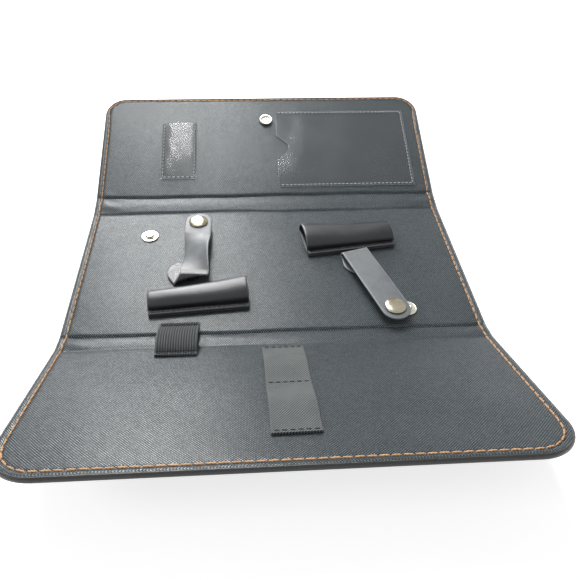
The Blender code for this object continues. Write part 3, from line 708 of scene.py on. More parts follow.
@dataclass(frozen=True)
class FoldLine:
    """The case's profile from its front edge to its rear edge, bent softly at its four creases."""

    width: float = 0.2450
    middle_depth: float = 0.1133
    rear_spine: float = 0.0160
    rear_depth: float = 0.0947
    front_spine: float = 0.0115
    front_depth: float = 0.1046
    rear_radius: float = 0.0160
    front_radius: float = 0.0220
    rear_tilt: float = 19.1
    front_tilt: float = 22.6
    top: float = 0.0028
    bend_reach: float = 0.0020
    step: float = 0.00005

    def creases(self) -> dict[str, float]:
        """The place of each crease along s."""
        half = self.middle_depth / 2
        return {
            "front_far": -half - self.front_spine,
            "front_near": -half,
            "rear_near": half,
            "rear_far": half + self.rear_spine,
        }

    def ends(self) -> tuple[float, float]:
        """Where the front and the rear edge lie along s."""
        creases = self.creases()
        return creases["front_far"] - self.front_depth, creases["rear_far"] + self.rear_depth

    def profile(self) -> tuple[Array, Array, Array, Array]:
        """The line as a table.

        Returns:
            The places s, and at each one the angle, y and z of the lining's face.
        """
        first, last = self.ends()
        margin = 5 * MM
        s = np.arange(first - margin, last + margin, self.step)
        angle = np.zeros_like(s)
        for crease in self.creases().values():
            turn = math.radians(self.front_tilt if crease < 0 else self.rear_tilt) / 2
            share = smoothstep((s - crease + self.bend_reach) / (2 * self.bend_reach))
            angle += turn * (share - 1 if crease < 0 else share)
        y = np.concatenate(([0.0], np.cumsum(np.cos((angle[1:] + angle[:-1]) / 2) * self.step)))
        z = np.concatenate(([0.0], np.cumsum(np.sin((angle[1:] + angle[:-1]) / 2) * self.step)))
        y -= np.interp(0.0, s, y)
        z -= np.interp(0.0, s, z) - self.top
        return s, angle, y, z

    def place(self, x: Array, s: Array, h: Array) -> Array:
        """Points in the world from their places on the case.

        Args:
            x: places across the width.
            s: places along the line.
            h: heights out of the lining's face.

        Returns:
            The points, one in each row.
        """
        x, s, h = (np.asarray(v, float) for v in np.broadcast_arrays(x, s, h))
        table = TABLE
        angle = np.interp(s, table[0], table[1])
        y = np.interp(s, table[0], table[2]) - h * np.sin(angle)
        z = np.interp(s, table[0], table[3]) + h * np.cos(angle)
        return np.stack([x, y, z], axis=-1)

    def up(self, s: float) -> Array:
        """The direction out of the lining at s."""
        angle = np.interp(s, TABLE[0], TABLE[1])
        return np.array([0.0, -math.sin(angle), math.cos(angle)])

    def half_width(self, s: Array, inset: float = 0.0) -> Array:
        """Half the width of the outline at s, for an outline drawn in by the inset.

        Args:
            s: places along the line.
            inset: how far the outline is drawn in.

        Returns:
            Half the width at each place.
        """
        first, last = self.ends()
        result = np.full_like(np.asarray(s, float), self.width / 2 - inset)
        for edge, radius in ((first, self.front_radius), (last, self.rear_radius)):
            side = math.copysign(1.0, edge)
            reach = side * (s - (edge - side * radius))
            inner = radius - inset
            bend = np.clip(reach, 0.0, inner)
            result -= np.where(reach > 0, inner - np.sqrt(np.maximum(inner * inner - bend * bend, 0.0)), 0.0)
        return result

    def edge_distance(self, x: Array, s: Array) -> Array:
        """How far a place lies inside the case's outline.

        Args:
            x: places across the width.
            s: places along the line.

        Returns:
            The distance at each place.
        """
        first, last = self.ends()
        half = self.width / 2
        result = np.minimum(half - np.abs(x), np.minimum(s - first, last - s))
        for edge, radius in ((first, self.front_radius), (last, self.rear_radius)):
            side = math.copysign(1.0, edge)
            across = np.abs(x) - (half - radius)
            along = side * (s - (edge - side * radius))
            round_part = (across > 0) & (along > 0)
            result = np.where(round_part, radius - np.hypot(across, along), result)
        return result


LINE = FoldLine()
TABLE = LINE.profile()


# Meshes


def add_piece(
    name: str, points: Array, faces: Sequence[Sequence[int]], material: Material,
    uv: Array | None = None, edge: Array | None = None, sharp: float = 50.0,
) -> Object:
    """Makes a smooth mesh object at the origin.

    Args:
        name: the piece's name.
        points: its points, one in each row.
        faces: its faces, as rows of point numbers.
        material: its finish.
        uv: real lengths along the surface at each point.
        edge: each point's distance from the piece's edge.
        sharp: the angle in degrees over which an edge stays sharp.

    Returns:
        The new object.
    """
    mesh = bpy.data.meshes.new(name)
    mesh.from_pydata([tuple(p) for p in np.asarray(points, float)], [], [tuple(map(int, f)) for f in faces])
    if uv is not None:
        layer = mesh.uv_layers.new(name="UVMap")
        corners = np.empty(len(mesh.loops), int)
        mesh.loops.foreach_get("vertex_index", corners)
        layer.data.foreach_set("uv", np.asarray(uv, float)[corners].astype(np.float32).ravel())
    if edge is not None:
        mesh.attributes.new("edge", "FLOAT", "POINT").data.foreach_set("value", np.asarray(edge, np.float32))
    mesh.materials.append(material)
    mesh.shade_smooth()
    mesh.set_sharp_from_angle(angle=math.radians(sharp))
    obj = bpy.data.objects.new(name, mesh)
    bpy.context.scene.collection.objects.link(obj)
    return obj


def ring_faces(rings: int, around: int) -> list[tuple[int, ...]]:
    """Faces between closed rings of points that lie one after another.

    Args:
        rings: how many rings there are.
        around: points in each ring.

    Returns:
        The faces.
    """
    faces = []
    for r in range(rings - 1):
        for i in range(around):
            j = (i + 1) % around
            faces.append((r * around + i, r * around + j, (r + 1) * around + j, (r + 1) * around + i))
    return faces


def grid_faces(rows: int, across: int) -> list[tuple[int, ...]]:
    """Faces between the rows of a grid of points.

    Args:
        rows: how many rows the grid has.
        across: points in each row.

    Returns:
        The faces.
    """
    corners = [j * across + i for j in range(rows - 1) for i in range(across - 1)]
    return [(k, k + 1, k + across + 1, k + across) for k in corners]


def border(rows: int, across: int) -> list[int]:
    """The points round the border of a grid, in turn.

    Args:
        rows: how many rows the grid has.
        across: points in each row.

    Returns:
        The points' numbers.
    """
    last = rows - 1
    loop = [(0, i) for i in range(across)] + [(j, across - 1) for j in range(1, rows)]
    loop += [(last, i) for i in range(across - 2, -1, -1)] + [(j, 0) for j in range(last - 1, 0, -1)]
    return [j * across + i for j, i in loop]


def tube(
    name: str, rings: Array, material: Material,
    uv: Array | None = None, edge: Array | None = None, sharp: float = 50.0,
) -> Object:
    """A closed solid through a row of closed rings, with its faces turned outwards.

    Args:
        name: the piece's name.
        rings: the points, as rings by points by 3.
        material: its finish.
        uv: real lengths along the surface, as rings by points by 2.
        edge: distances from the edge, as rings by points.
        sharp: the angle in degrees over which an edge stays sharp.

    Returns:
        The new object.
    """
    count, around = rings.shape[:2]
    faces = ring_faces(count, around)
    faces.append(tuple(range(around))[::-1])
    faces.append(tuple(range((count - 1) * around, count * around)))
    points = rings.reshape(-1, 3)
    corners = [(f[0], f[i], f[i + 1]) for f in faces for i in range(1, len(f) - 1)]
    volume = sum(float(np.dot(points[a], np.cross(points[b], points[c]))) for a, b, c in corners)
    if volume < 0:
        faces = [f[::-1] for f in faces]
    flat_uv = None if uv is None else uv.reshape(-1, 2)
    flat_edge = None if edge is None else edge.reshape(-1)
    return add_piece(name, points, faces, material, flat_uv, flat_edge, sharp)


def spun(
    name: str, profile: Sequence[tuple[float, float]], centre: Array, up: Array, material: Material,
    steps: int = 64, sharp: float = 45.0,
) -> Object:
    """A turned piece: its closed or axis-to-axis profile of (radius, height) spun about an axis.

    Args:
        name: the piece's name.
        profile: the half section, from bottom to top on its outside.
        centre: the place of height 0 on the axis.
        up: the axis.
        material: its finish.
        steps: points round each ring.
        sharp: the angle in degrees over which an edge stays sharp.

    Returns:
        The new object.
    """
    turn = Vector((0.0, 0.0, 1.0)).rotation_difference(Vector(up)).to_matrix()
    ring_like = profile[0][0] > 0
    points: list[Vector] = []
    rows: list[list[int]] = []
    for radius, height in profile:
        count = 1 if radius == 0 else steps
        row = []
        for i in range(count):
            angle = 2 * math.pi * i / steps
            row.append(len(points))
            points.append(Vector(centre) + turn @ Vector((radius * math.cos(angle), radius * math.sin(angle), height)))
        rows.append(row)
    if ring_like:
        rows.append(rows[0])
    faces = []
    for lower, upper in zip(rows, rows[1:]):
        for i in range(steps):
            j = (i + 1) % steps
            quad = [lower[i % len(lower)], lower[j % len(lower)], upper[j % len(upper)], upper[i % len(upper)]]
            face = list(dict.fromkeys(quad))
            if len(face) > 2:
                faces.append(face)
    return add_piece(name, np.array([tuple(p) for p in points]), faces, material, sharp=sharp)


def smooth_profile(points: Sequence[tuple[float, float]], radius: float, steps: int = 4) -> list[tuple[float, float]]:
    """Rounds the inner corners of a profile.

    Args:
        points: the profile's corners.
        radius: how far each rounding reaches along its two sides.
        steps: points on each rounding.

    Returns:
        The rounded profile.
    """
    result = [points[0]]
    for before, here, after in zip(points, points[1:], points[2:]):
        a, b, c = (np.array(p) for p in (before, here, after))
        reach_a = min(radius, np.linalg.norm(a - b) * 0.45)
        reach_c = min(radius, np.linalg.norm(c - b) * 0.45)
        start = b + (a - b) / max(np.linalg.norm(a - b), 1e-9) * reach_a
        end = b + (c - b) / max(np.linalg.norm(c - b), 1e-9) * reach_c
        for i in range(steps + 1):
            t = i / steps
            p = (1 - t) ** 2 * start + 2 * t * (1 - t) * b + t * t * end
            result.append((float(max(p[0], 0.0)), float(p[1])))
    result.append(points[-1])
    return result


# Stitches, made along paths with Geometry Nodes


@dataclass(frozen=True)
class Seam:
    """A row of stitches: two twisted plies that dip into the cloth at both ends."""

    pitch: float = 4.88 * MM
    length_share: float = 0.93
    ply_radius: float = 0.36 * MM
    twist_turns: float = 1.5
    lift: float = 0.22 * MM
    dip: float = 0.35 * MM
    seed: int = 7

    def ply(self, n: Nodes, port: Ports, phase: float) -> Socket:
        """One ply of a stitch, lying along X.

        Args:
            n: the tree's node helper.
            port: hands out the tree's inputs by name.
            phase: where on the twist this ply starts.

        Returns:
            The ply's mesh.
        """
        half = n.math("MULTIPLY", port("Length"), 0.5)
        start = n.add("ShaderNodeCombineXYZ", {0: n.math("MULTIPLY", half, -1.0)}).outputs[0]
        end = n.add("ShaderNodeCombineXYZ", {0: half}).outputs[0]
        line = n.add("GeometryNodeCurvePrimitiveLine", {"Start": start, "End": end})
        line = n.add("GeometryNodeResampleCurve", {"Curve": line.outputs[0], "Count": 8})
        share = n.add("GeometryNodeSplineParameter").outputs[0]
        turn = n.math("MULTIPLY_ADD", n.math("MULTIPLY", share, port("Twist")), 2 * math.pi, phase)
        reach = n.math("MULTIPLY", port("Ply Radius"), 0.75)
        middle = n.math("ABSOLUTE", n.math("MULTIPLY_ADD", share, 2.0, -1.0))
        droop = n.math("MULTIPLY", n.math("POWER", middle, 3.0), port("Dip"))
        height = n.math("SUBTRACT", n.math("MULTIPLY_ADD", n.math("SINE", turn), reach, port("Lift")), droop)
        offset = n.add("ShaderNodeCombineXYZ", {1: n.math("MULTIPLY", n.math("COSINE", turn), reach), 2: height})
        bent = n.add("GeometryNodeSetPosition", {"Geometry": line.outputs[0], "Offset": offset.outputs[0]})
        taper = n.math("SQRT", n.math("SUBTRACT", 1.0, n.math("MULTIPLY", n.math("POWER", middle, 6.0), 0.8)))
        round_profile = n.add("GeometryNodeCurvePrimitiveCircle", {"Resolution": 5, "Radius": port("Ply Radius")})
        mesh = n.add(
            "GeometryNodeCurveToMesh",
            {"Curve": bent.outputs[0], "Profile Curve": round_profile.outputs[0], "Scale": taper, "Fill Caps": True},
        )
        return mesh.outputs[0]

    def tree(self) -> Tree:
        """Builds the tree that sews stitches along the edges of a path mesh, once.

        Returns:
            The geometry node tree.
        """
        if "sewn_stitches" in bpy.data.node_groups:
            return bpy.data.node_groups["sewn_stitches"]
        tree = bpy.data.node_groups.new("sewn_stitches", "GeometryNodeTree")
        ports = (
            ("Path", "NodeSocketGeometry"), ("Pitch", "NodeSocketFloat"), ("Length", "NodeSocketFloat"),
            ("Ply Radius", "NodeSocketFloat"), ("Twist", "NodeSocketFloat"), ("Lift", "NodeSocketFloat"),
            ("Dip", "NodeSocketFloat"), ("Seed", "NodeSocketInt"), ("Finish", "NodeSocketMaterial"),
        )
        for name, kind in ports:
            tree.interface.new_socket(name, in_out="INPUT", socket_type=kind)
        tree.interface.new_socket("Stitches", in_out="OUTPUT", socket_type="NodeSocketGeometry")
        n = Nodes(tree)
        entry = n.add("NodeGroupInput")

        def port(name: str) -> Socket:
            """One of the tree's inputs."""
            return entry.outputs[name]

        curve = n.add("GeometryNodeMeshToCurve", {"Mesh": port("Path")})
        points = n.add("GeometryNodeResampleCurve", {"Curve": curve.outputs[0], "Length": port("Pitch")}, mode="LENGTH")
        tangent = n.add("GeometryNodeInputTangent").outputs[0]
        upward = n.add("GeometryNodeInputNamedAttribute", {"Name": "up"}, data_type="FLOAT_VECTOR").outputs[0]
        along = n.add("FunctionNodeAlignRotationToVector", {"Vector": tangent}, axis="X")
        level = n.add(
            "FunctionNodeAlignRotationToVector", {"Rotation": along.outputs[0], "Vector": upward},
            axis="Z", pivot_axis="X",
        )
        sway = n.add("FunctionNodeRandomValue", {2: -0.07, 3: 0.07, "Seed": port("Seed")})
        turn = n.add("FunctionNodeAxisAngleToRotation", {"Axis": (0.0, 0.0, 1.0), "Angle": sway.outputs[1]})
        rotation = n.add(
            "FunctionNodeRotateRotation", {0: level.outputs[0], 1: turn.outputs[0]}, rotation_space="LOCAL"
        )
        size = n.add("FunctionNodeRandomValue", {2: 0.94, 3: 1.04, "Seed": n.math("ADD", port("Seed"), 1.0)})
        plies = n.add("GeometryNodeJoinGeometry")
        for phase in (0.0, math.pi):
            tree.links.new(self.ply(n, port, phase), plies.inputs[0])
        placed = n.add(
            "GeometryNodeInstanceOnPoints",
            {
                "Points": points.outputs[0], "Instance": plies.outputs[0],
                "Rotation": rotation.outputs[0], "Scale": size.outputs[1],
            },
        )
        real = n.add("GeometryNodeRealizeInstances", {"Geometry": placed.outputs[0]})
        smooth = n.add("GeometryNodeSetShadeSmooth", {"Geometry": real.outputs[0]})
        dressed = n.add("GeometryNodeSetMaterial", {"Geometry": smooth.outputs[0], "Material": port("Finish")})
        leave = n.add("NodeGroupOutput")
        tree.links.new(dressed.outputs[0], leave.inputs[0])
        return tree

    def sew(self, name: str, paths: Iterable[Stretch], finish: Material) -> Object:
        """Sews stitches along paths.

        Args:
            name: the piece's name.
            paths: for each path its points, and the direction away from the cloth at each point.
            finish: the thread's material.

        Returns:
            One plain mesh object that holds all the stitches.
        """
        points: list[tuple[float, ...]] = []
        ups: list[tuple[float, ...]] = []
        edges: list[tuple[int, int]] = []
        for path, up in paths:
            first = len(points)
            points += [tuple(p) for p in path]
            ups += [tuple(u) for u in np.broadcast_to(up, np.shape(path))]
            edges += [(first + i, first + i + 1) for i in range(len(path) - 1)]
        mesh = bpy.data.meshes.new(f"{name}_path")
        mesh.from_pydata(points, edges, [])
        upward = mesh.attributes.new("up", "FLOAT_VECTOR", "POINT")
        upward.data.foreach_set("vector", np.array(ups, np.float32).ravel())
        obj = bpy.data.objects.new(name, mesh)
        bpy.context.scene.collection.objects.link(obj)
        sewing = obj.modifiers.new("stitches", "NODES")
        sewing.node_group = self.tree()
        values = {
            "Pitch": self.pitch, "Length": self.pitch * self.length_share, "Ply Radius": self.ply_radius,
            "Twist": self.twist_turns, "Lift": self.lift, "Dip": self.dip, "Seed": self.seed, "Finish": finish,
        }
        for item in sewing.node_group.interface.items_tree:
            if item.item_type == "SOCKET" and item.in_out == "INPUT" and item.name in values:
                sewing[item.identifier] = values[item.name]
        obj.update_tag()
        graph = bpy.context.evaluated_depsgraph_get()
        made = bpy.data.meshes.new_from_object(
            obj.evaluated_get(graph), preserve_all_data_layers=False, depsgraph=graph
        )
        obj.modifiers.clear()
        obj.data = made
        made.name = name
        return obj

    def trimmed(self, path: Array) -> Array:
        """Takes half a stitch off both ends of a path, and fits the rest to whole stitches.

        Args:
            path: the path's points.

        Returns:
            The shorter path.
        """
        reach = np.concatenate(([0.0], np.cumsum(np.linalg.norm(np.diff(path, axis=0), axis=1))))
        whole = max(round(reach[-1] / self.pitch), 1)
        half = reach[-1] / whole / 2
        marks = np.concatenate(([half], reach[(reach > half) & (reach < reach[-1] - half)], [reach[-1] - half]))
        return np.stack([np.interp(marks, reach, path[:, k]) for k in range(path.shape[1])], axis=1)


PERIMETER_SEAM = Seam()
OUTSIDE_SEAM = Seam(lift=0.0, dip=0.10 * MM)
SHEATH_SEAM = Seam(pitch=2.9 * MM, ply_radius=0.22 * MM, twist_turns=1.0, seed=11)
POCKET_SEAM = Seam(2.9 * MM, 0.72, 0.21 * MM, twist_turns=1.0, lift=0.16 * MM, dip=0.2 * MM, seed=21)
BAND_SEAM = Seam(3.1 * MM, 0.80, 0.24 * MM, twist_turns=1.0, lift=0.14 * MM, dip=0.3 * MM, seed=31)


# Sub-assemblies


@dataclass
class FoldedSheet:
    """The case's two outer layers, each made in four parts that meet where no joint bends them."""

    finishes: Finishes
    row_step: float = 1.1 * MM
    column_step: float = 1.5 * MM
    edge_rows: tuple = (0.0, 0.4, 0.9, 1.4, 1.9, 2.4, 2.9, 3.4, 3.9, 4.4, 4.9, 5.5, 6.2, 7.0, 8.0, 9.0)
    blend_reach: float = 3.2 * MM
    front_inset: float = 4.4 * MM
    side_inset: float = 3.9 * MM
    rear_inset: float = 2.3 * MM
    lining_inset: float = 1.25 * MM
    lining_thickness: float = 0.5 * MM
    groove_depth: float = 1.1 * MM
    roll_height: float = 0.75 * MM
    stitch_dip: float = 0.40 * MM
    scallop: float = 0.10 * MM
    sway: float = 0.10 * MM
    stack: float = 2.8 * MM
    rim_profile: tuple = (
        (9.0, -1.95, 7.0), (9.0, -0.85, 7.0), (2.1, -0.80, 2.0), (1.5, -0.42, 1.2), (1.15, 0.02, 0.5),
        (0.80, 0.16, 0.15), (0.45, 0.06, 0.0), (0.18, -0.30, 0.0), (0.03, -0.85, 0.3), (0.0, -1.40, 0.5),
        (0.04, -1.95, 0.3), (0.22, -2.40, 0.0), (0.55, -2.68, 0.2), (1.0, -2.80, 0.8),
    )
    rim_tops: int = 6
    base_inset: float = 1.3

    def parts(self) -> dict[str, tuple[float, float, str, str]]:
        """Each part's range along s and the two bodies that it bends between, from low s to high s.

        Returns:
            The two places, the body at the low end and the body at the high end, by the part's name.
        """
        creases = LINE.creases()
        first, last = LINE.ends()
        front_cut = (creases["front_far"] + creases["front_near"]) / 2
        rear_cut = (creases["rear_near"] + creases["rear_far"]) / 2
        return {
            "front": (first, front_cut, "front_panel", "front_spine"),
            "middle_front": (front_cut, 0.0, "front_spine", "middle"),
            "middle_rear": (0.0, rear_cut, "middle", "rear_spine"),
            "rear": (rear_cut, last, "rear_spine", "rear_panel"),
        }

    def crease_of(self, part: str) -> float:
        """The crease that a part bends at."""
        creases = LINE.creases()
        return {
            "front": creases["front_far"], "middle_front": creases["front_near"],
            "middle_rear": creases["rear_near"], "rear": creases["rear_far"],
        }[part]

    def bend(self, obj: Object, part: str) -> None:
        """Bakes a piece's placement into its mesh; the ends of its crease are worked out but nothing ties the piece to
        the bodies.

        Args:
            obj: the piece.
            part: the part that it belongs to.
        """
        _, _, low_body, high_body = self.parts()[part]
        crease = self.crease_of(part)
        ends = LINE.place(0.0, np.array([crease - self.blend_reach, crease + self.blend_reach]), 0.0)
        tuple(ends[0])
        tuple(ends[1])
        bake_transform(obj)

    def rows(self, part: str, step: float) -> Array:
        """The places of a part's rows along s, closer together at creases, edges and round corners.

        Args:
            part: the part's name.
            step: the widest step between two rows.

        Returns:
            The rows' places along s.
        """
        low, high, _, _ = self.parts()[part]
        first, last = LINE.ends()
        fine = np.arange(-4.0, 4.01, 0.5) * MM + self.crease_of(part)
        marks = [np.arange(low, high, step), fine]
        for edge, radius in ((first, LINE.front_radius), (last, LINE.rear_radius)):
            if low <= edge <= high:
                side = math.copysign(1.0, edge)
                turn = np.linspace(0.0, math.pi / 2, 26)
                marks.append(edge - side * radius + side * radius * np.sin(turn))
        marks = np.unique(np.round(np.concatenate([*marks, [low, high]]), 6))
        marks = marks[(marks >= low - 1e-9) & (marks <= high + 1e-9)]
        keep = [marks[0]]
        for mark in marks[1:-1]:
            if mark - keep[-1] > 0.22 * MM and marks[-1] - mark > 0.05 * MM:
                keep.append(mark)
        return np.array(keep + [marks[-1]])

    def columns(self, step: float) -> Array:
        """The columns' shares of the half width, closer together near the edges.

        Args:
            step: the widest step between two columns.

        Returns:
            The columns' shares.
        """
        half = LINE.width / 2
        near = half - np.array(self.edge_rows) * MM
        inner = np.linspace(near[-1], 0.0, max(int(near[-1] / step), 2))[1:]
        right = np.concatenate([near, inner])
        return np.concatenate([-right, right[:-1][::-1]]) / half

    def grid(
        self, rows: Array, columns: Array, inset: float, high: float, relief: Callable[[Array, Array], Array]
    ) -> Array:
        """A layer of points over the outline.

        Args:
            rows: the rows' places along s.
            columns: the columns' shares of the half width.
            inset: how far the layer's outline is drawn in.
            high: the layer's height.
            relief: adds a height at each x and s.

        Returns:
            The points, as rows by columns by 3.
        """
        first, last = LINE.ends()
        drawn = np.clip(rows, first + inset, last - inset)
        x = columns[None, :] * LINE.half_width(drawn, inset)[:, None]
        s = np.broadcast_to(drawn[:, None], x.shape)
        return LINE.place(x, s, high + relief(x, s))

    def solid(
        self, name: str, layers: Sequence[Array], rows: Array, columns: Array,
        finish: Material, edge: Sequence[float],
    ) -> Object:
        """A closed piece from a top layer, rings round its border and a bottom layer.

        Args:
            name: the piece's name.
            layers: grids of points from top to bottom; those between the first and the last give only their border.
            rows: the rows' places along s.
            columns: the columns' shares of the half width.
            finish: the piece's material.
            edge: the distance from the rim kept on each layer's border.

        Returns:
            The new object.
        """
        count, across = len(rows), len(columns)
        index = np.array(border(count, across))
        grid = grid_faces(count, across)
        points = [layers[0].reshape(-1, 3)]
        loops = [index]
        offset = count * across
        for layer in layers[1:-1]:
            points.append(layer.reshape(-1, 3)[index])
            loops.append(offset + np.arange(len(index)))
            offset += len(index)
        points.append(layers[-1].reshape(-1, 3))
        loops.append(offset + index)
        faces = list(grid) + [tuple(offset + k for k in quad[::-1]) for quad in grid]
        for upper, lower in zip(loops, loops[1:]):
            for i in range(len(index)):
                j = (i + 1) % len(index)
                faces.append((upper[i], lower[i], lower[j], upper[j]))
        x = columns[None, :] * LINE.half_width(rows)[:, None]
        s = np.broadcast_to(rows[:, None], x.shape)
        flat = np.stack([x, s], axis=-1).reshape(-1, 2)
        inside = LINE.edge_distance(x, s).reshape(-1)
        uv = [flat] + [flat[index]] * (len(layers) - 2) + [flat]
        far = [inside + edge[0]] + [inside[index] + d for d in edge[1:-1]] + [inside + edge[-1]]
        return add_piece(name, np.concatenate(points), faces, finish, np.concatenate(uv), np.concatenate(far))

    def stitch_inset(self, s: Array) -> Array:
        """How far the stitch line lies from the edge, by its place along s.

        Args:
            s: places along the line.

        Returns:
            The inset at each place.
        """
        first, last = LINE.ends()
        to_front = smoothstep((s - first) / (2 * LINE.front_radius))
        to_rear = smoothstep((last - s) / (2 * LINE.rear_radius))
        inset = self.front_inset + (self.side_inset - self.front_inset) * to_front
        return inset + (self.rear_inset - self.side_inset) * (1 - to_rear)

    def relief(self, x: Array, s: Array) -> Array:
        """The lining's relief: creases, the soft roll on the rear spine, puckers, the sewn channel and slow waves.

        Args:
            x: places across the width.
            s: places along the line.

        Returns:
            The height at each place.
        """
        creases = LINE.creases()
        edge = LINE.edge_distance(x, s)
        from_side = LINE.width / 2 - np.abs(x)
        inset = self.stitch_inset(s)
        held = smoothstep((edge - 1.0 * MM) / (6 * MM))
        wander = 0.35 * MM * np.sin(x / (31 * MM)) + 0.2 * MM * np.sin(x / (9.7 * MM) + 1.0)
        h = -1.25 * self.groove_depth * bell(s - creases["rear_far"] - wander, 1.05 * MM) * (0.35 + 0.65 * held)
        near_share = 0.55 + 0.4 * np.sin(x / (38 * MM) + 0.6) ** 2
        h -= self.groove_depth * near_share * bell(s - creases["rear_near"] + wander, 1.15 * MM) * (0.3 + 0.7 * held)
        middle = (creases["rear_near"] + creases["rear_far"]) / 2
        h += self.roll_height * bell(s - middle - wander, 4.6 * MM) * held
        h -= 1.25 * self.groove_depth * bell(s - creases["front_near"] - wander, 1.05 * MM) * (0.35 + 0.65 * held)
        h -= 0.45 * self.groove_depth * bell(s - creases["front_far"] + wander, 1.4 * MM) * held
        h += 0.35 * MM * bell(s - (creases["front_near"] + creases["front_far"]) / 2, 3.0 * MM) * held
        for centre, reach in ((middle, 11 * MM), ((creases["front_near"] + creases["front_far"]) / 2, 9 * MM)):
            bow = (s - centre) * (1 + 0.35 * from_side / (20 * MM))
            fan = np.sin(bow / (2.1 * MM) + 5.5 * np.sin(from_side / (26 * MM)))
            h += 0.30 * MM * fan * bell(s - centre, reach) * bell(from_side - 11 * MM, 9 * MM)
        line = edge - inset
        channel = bell(line, 0.95 * MM)
        along = np.where(edge < from_side - MM, x, s)
        h -= self.stitch_dip * channel
        h += self.scallop * np.cos(2 * math.pi * along / (4.88 * MM)) * bell(line - 1.0 * MM, 1.6 * MM)
        h += 0.12 * MM * bell(line + 1.9 * MM, 0.9 * MM)
        wave_x = np.sin(x / (17 * MM) + 1.3 * np.sin(s / (23 * MM)))
        wave_s = np.sin(s / (14 * MM) + 0.8 * np.sin(x / (29 * MM)))
        h += self.sway * held * wave_x * wave_s
        return h - 0.30 * MM * (1 - smoothstep(edge / (1.8 * MM)))

    def lining(self, part: str) -> Object:
        """Makes one part of the lining.

        Args:
            part: the part's name.

        Returns:
            The piece.
        """
        rows, columns = self.rows(part, self.row_step), self.columns(self.column_step)
        thin = self.lining_thickness
        top = self.grid(rows, columns, self.lining_inset, 0.0, self.relief)
        bottom = self.grid(rows, columns, self.lining_inset, -thin, self.relief)
        middle = self.grid(rows, columns, self.lining_inset - 0.12 * MM, -thin / 2, self.relief)
        layers, finish = (top, middle, bottom), self.finishes.lining
        piece = self.solid(f"lining_{part}", layers, rows, columns, finish, (0.0, 0.0, 0.0))
        self.bend(piece, part)
        return piece

    def underside(self, x: Array, s: Array) -> Array:
        """The cover's relief from below: the sewn channel and the outside of the creases.

        Args:
            x: places across the width.
            s: places along the line.

        Returns:
            The height at each place.
        """
        edge = LINE.edge_distance(x, s)
        h = 0.45 * MM * bell(edge - self.stitch_inset(s), 0.9 * MM)
        for crease in LINE.creases().values():
            h += 0.22 * MM * bell(s - crease, 1.6 * MM)
        return h

    def cover(self, part: str) -> Object:
        """Makes one part of the outer cover, rolled up round its free edges and turned in as a hem.

        Args:
            part: the part's name.

        Returns:
            The piece.
        """
        rows, columns = self.rows(part, 1.6 * self.row_step), self.columns(3 * self.column_step)
        profile = self.rim_profile
        reach, tops, _ = (list(column) for column in zip(*profile[: self.rim_tops][::-1]))

        def held_under(high: float) -> Callable[[Array, Array], Array]:
            """Keeps a ring below the rolled edge's own profile where a part ends at a cut."""
            return lambda x, s: np.minimum(
                0.0, np.interp(LINE.edge_distance(x, s) / MM, reach, tops) * MM - high
            )

        layers = [
            self.grid(rows, columns, inset * MM, high * MM, held_under(high * MM)) for inset, high, _ in profile
        ]
        layers.append(self.grid(rows, columns, self.base_inset * MM, -self.stack, self.underside))
        edge = [worn * MM for _, _, worn in profile] + [self.base_inset * MM]
        piece = self.solid(f"cover_{part}", layers, rows, columns, self.finishes.cover, edge)
        self.bend(piece, part)
        return piece

    def seam_path(self, part: str, face: Face) -> list[Stretch]:
        """The perimeter stitch line within one part.

        Args:
            part: the part's name.
            face: the lining or the outside.

        Returns:
            Each stretch of the line with the direction away from the cloth.
        """
        low, high, _, _ = self.parts()[part]
        first, last = LINE.ends()
        stretches = []
        if part in ("front", "rear"):
            edge = first if part == "front" else last
            side = math.copysign(1.0, edge)
            inset = self.front_inset if part == "front" else self.rear_inset
            radius = (LINE.front_radius if part == "front" else LINE.rear_radius) - inset
            straight = np.linspace(low if part == "rear" else high, edge - side * (radius + inset), 60)
            turn = np.linspace(0.0, math.pi / 2, 24)[1:]
            s = np.concatenate([straight, edge - side * (radius + inset) + side * radius * np.sin(turn)])
            rounded = LINE.width / 2 - inset - radius + radius * np.cos(turn)
            x = np.concatenate([LINE.width / 2 - self.stitch_inset(straight), rounded])
            across = np.linspace(x[-1], -x[-1], 120)[1:-1]
            xs = np.concatenate([x, across, -x[::-1]])
            ss = np.concatenate([s, np.full_like(across, s[-1]), s[::-1]])
            stretches.append(np.stack([xs, ss], axis=1))
        else:
            s = np.linspace(low, high, 90)
            x = LINE.width / 2 - self.stitch_inset(s)
            stretches += [np.stack([x, s], axis=1), np.stack([-x, s], axis=1)]
        paths = []
        for flat in stretches:
            flat = PERIMETER_SEAM.trimmed(flat)
            x, s = flat[:, 0], flat[:, 1]
            if face is Face.LINING:
                points = LINE.place(x, s, self.relief(x, s) + 0.05 * MM)
                up = np.array([LINE.up(v) for v in s])
            else:
                points = LINE.place(x, s, self.underside(x, s) - self.stack + 0.25 * MM)
                up = -np.array([LINE.up(v) for v in s])
            paths.append((points, up))
        return paths

    def build(self) -> None:
        """Makes the lining, the cover and the stitches that join them."""
        linings = {part: self.lining(part) for part in self.parts()}
        covers = {part: self.cover(part) for part in self.parts()}
        nodes = {
            "front": ("front",), "middle_front": ("front_spine", "middle"),
            "middle_rear": ("middle", "rear_spine"), "rear": ("rear",),
        }
        for part, (low, high, _, _) in self.parts().items():
            rests = [f"{name}_cover" for name in nodes[part]]
            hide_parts(*[f"{name}_lining" for name in nodes[part]])
            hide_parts(*rests)
            for face in Face:
                seam = PERIMETER_SEAM if face is Face.LINING else OUTSIDE_SEAM
                sewn = seam.sew(f"stitches_{face.value}_{part}", self.seam_path(part, face), self.finishes.tan_thread)
                self.bend(sewn, part)
        LOG.info("folded sheet: lining, cover and perimeter stitches in %d parts", len(linings))


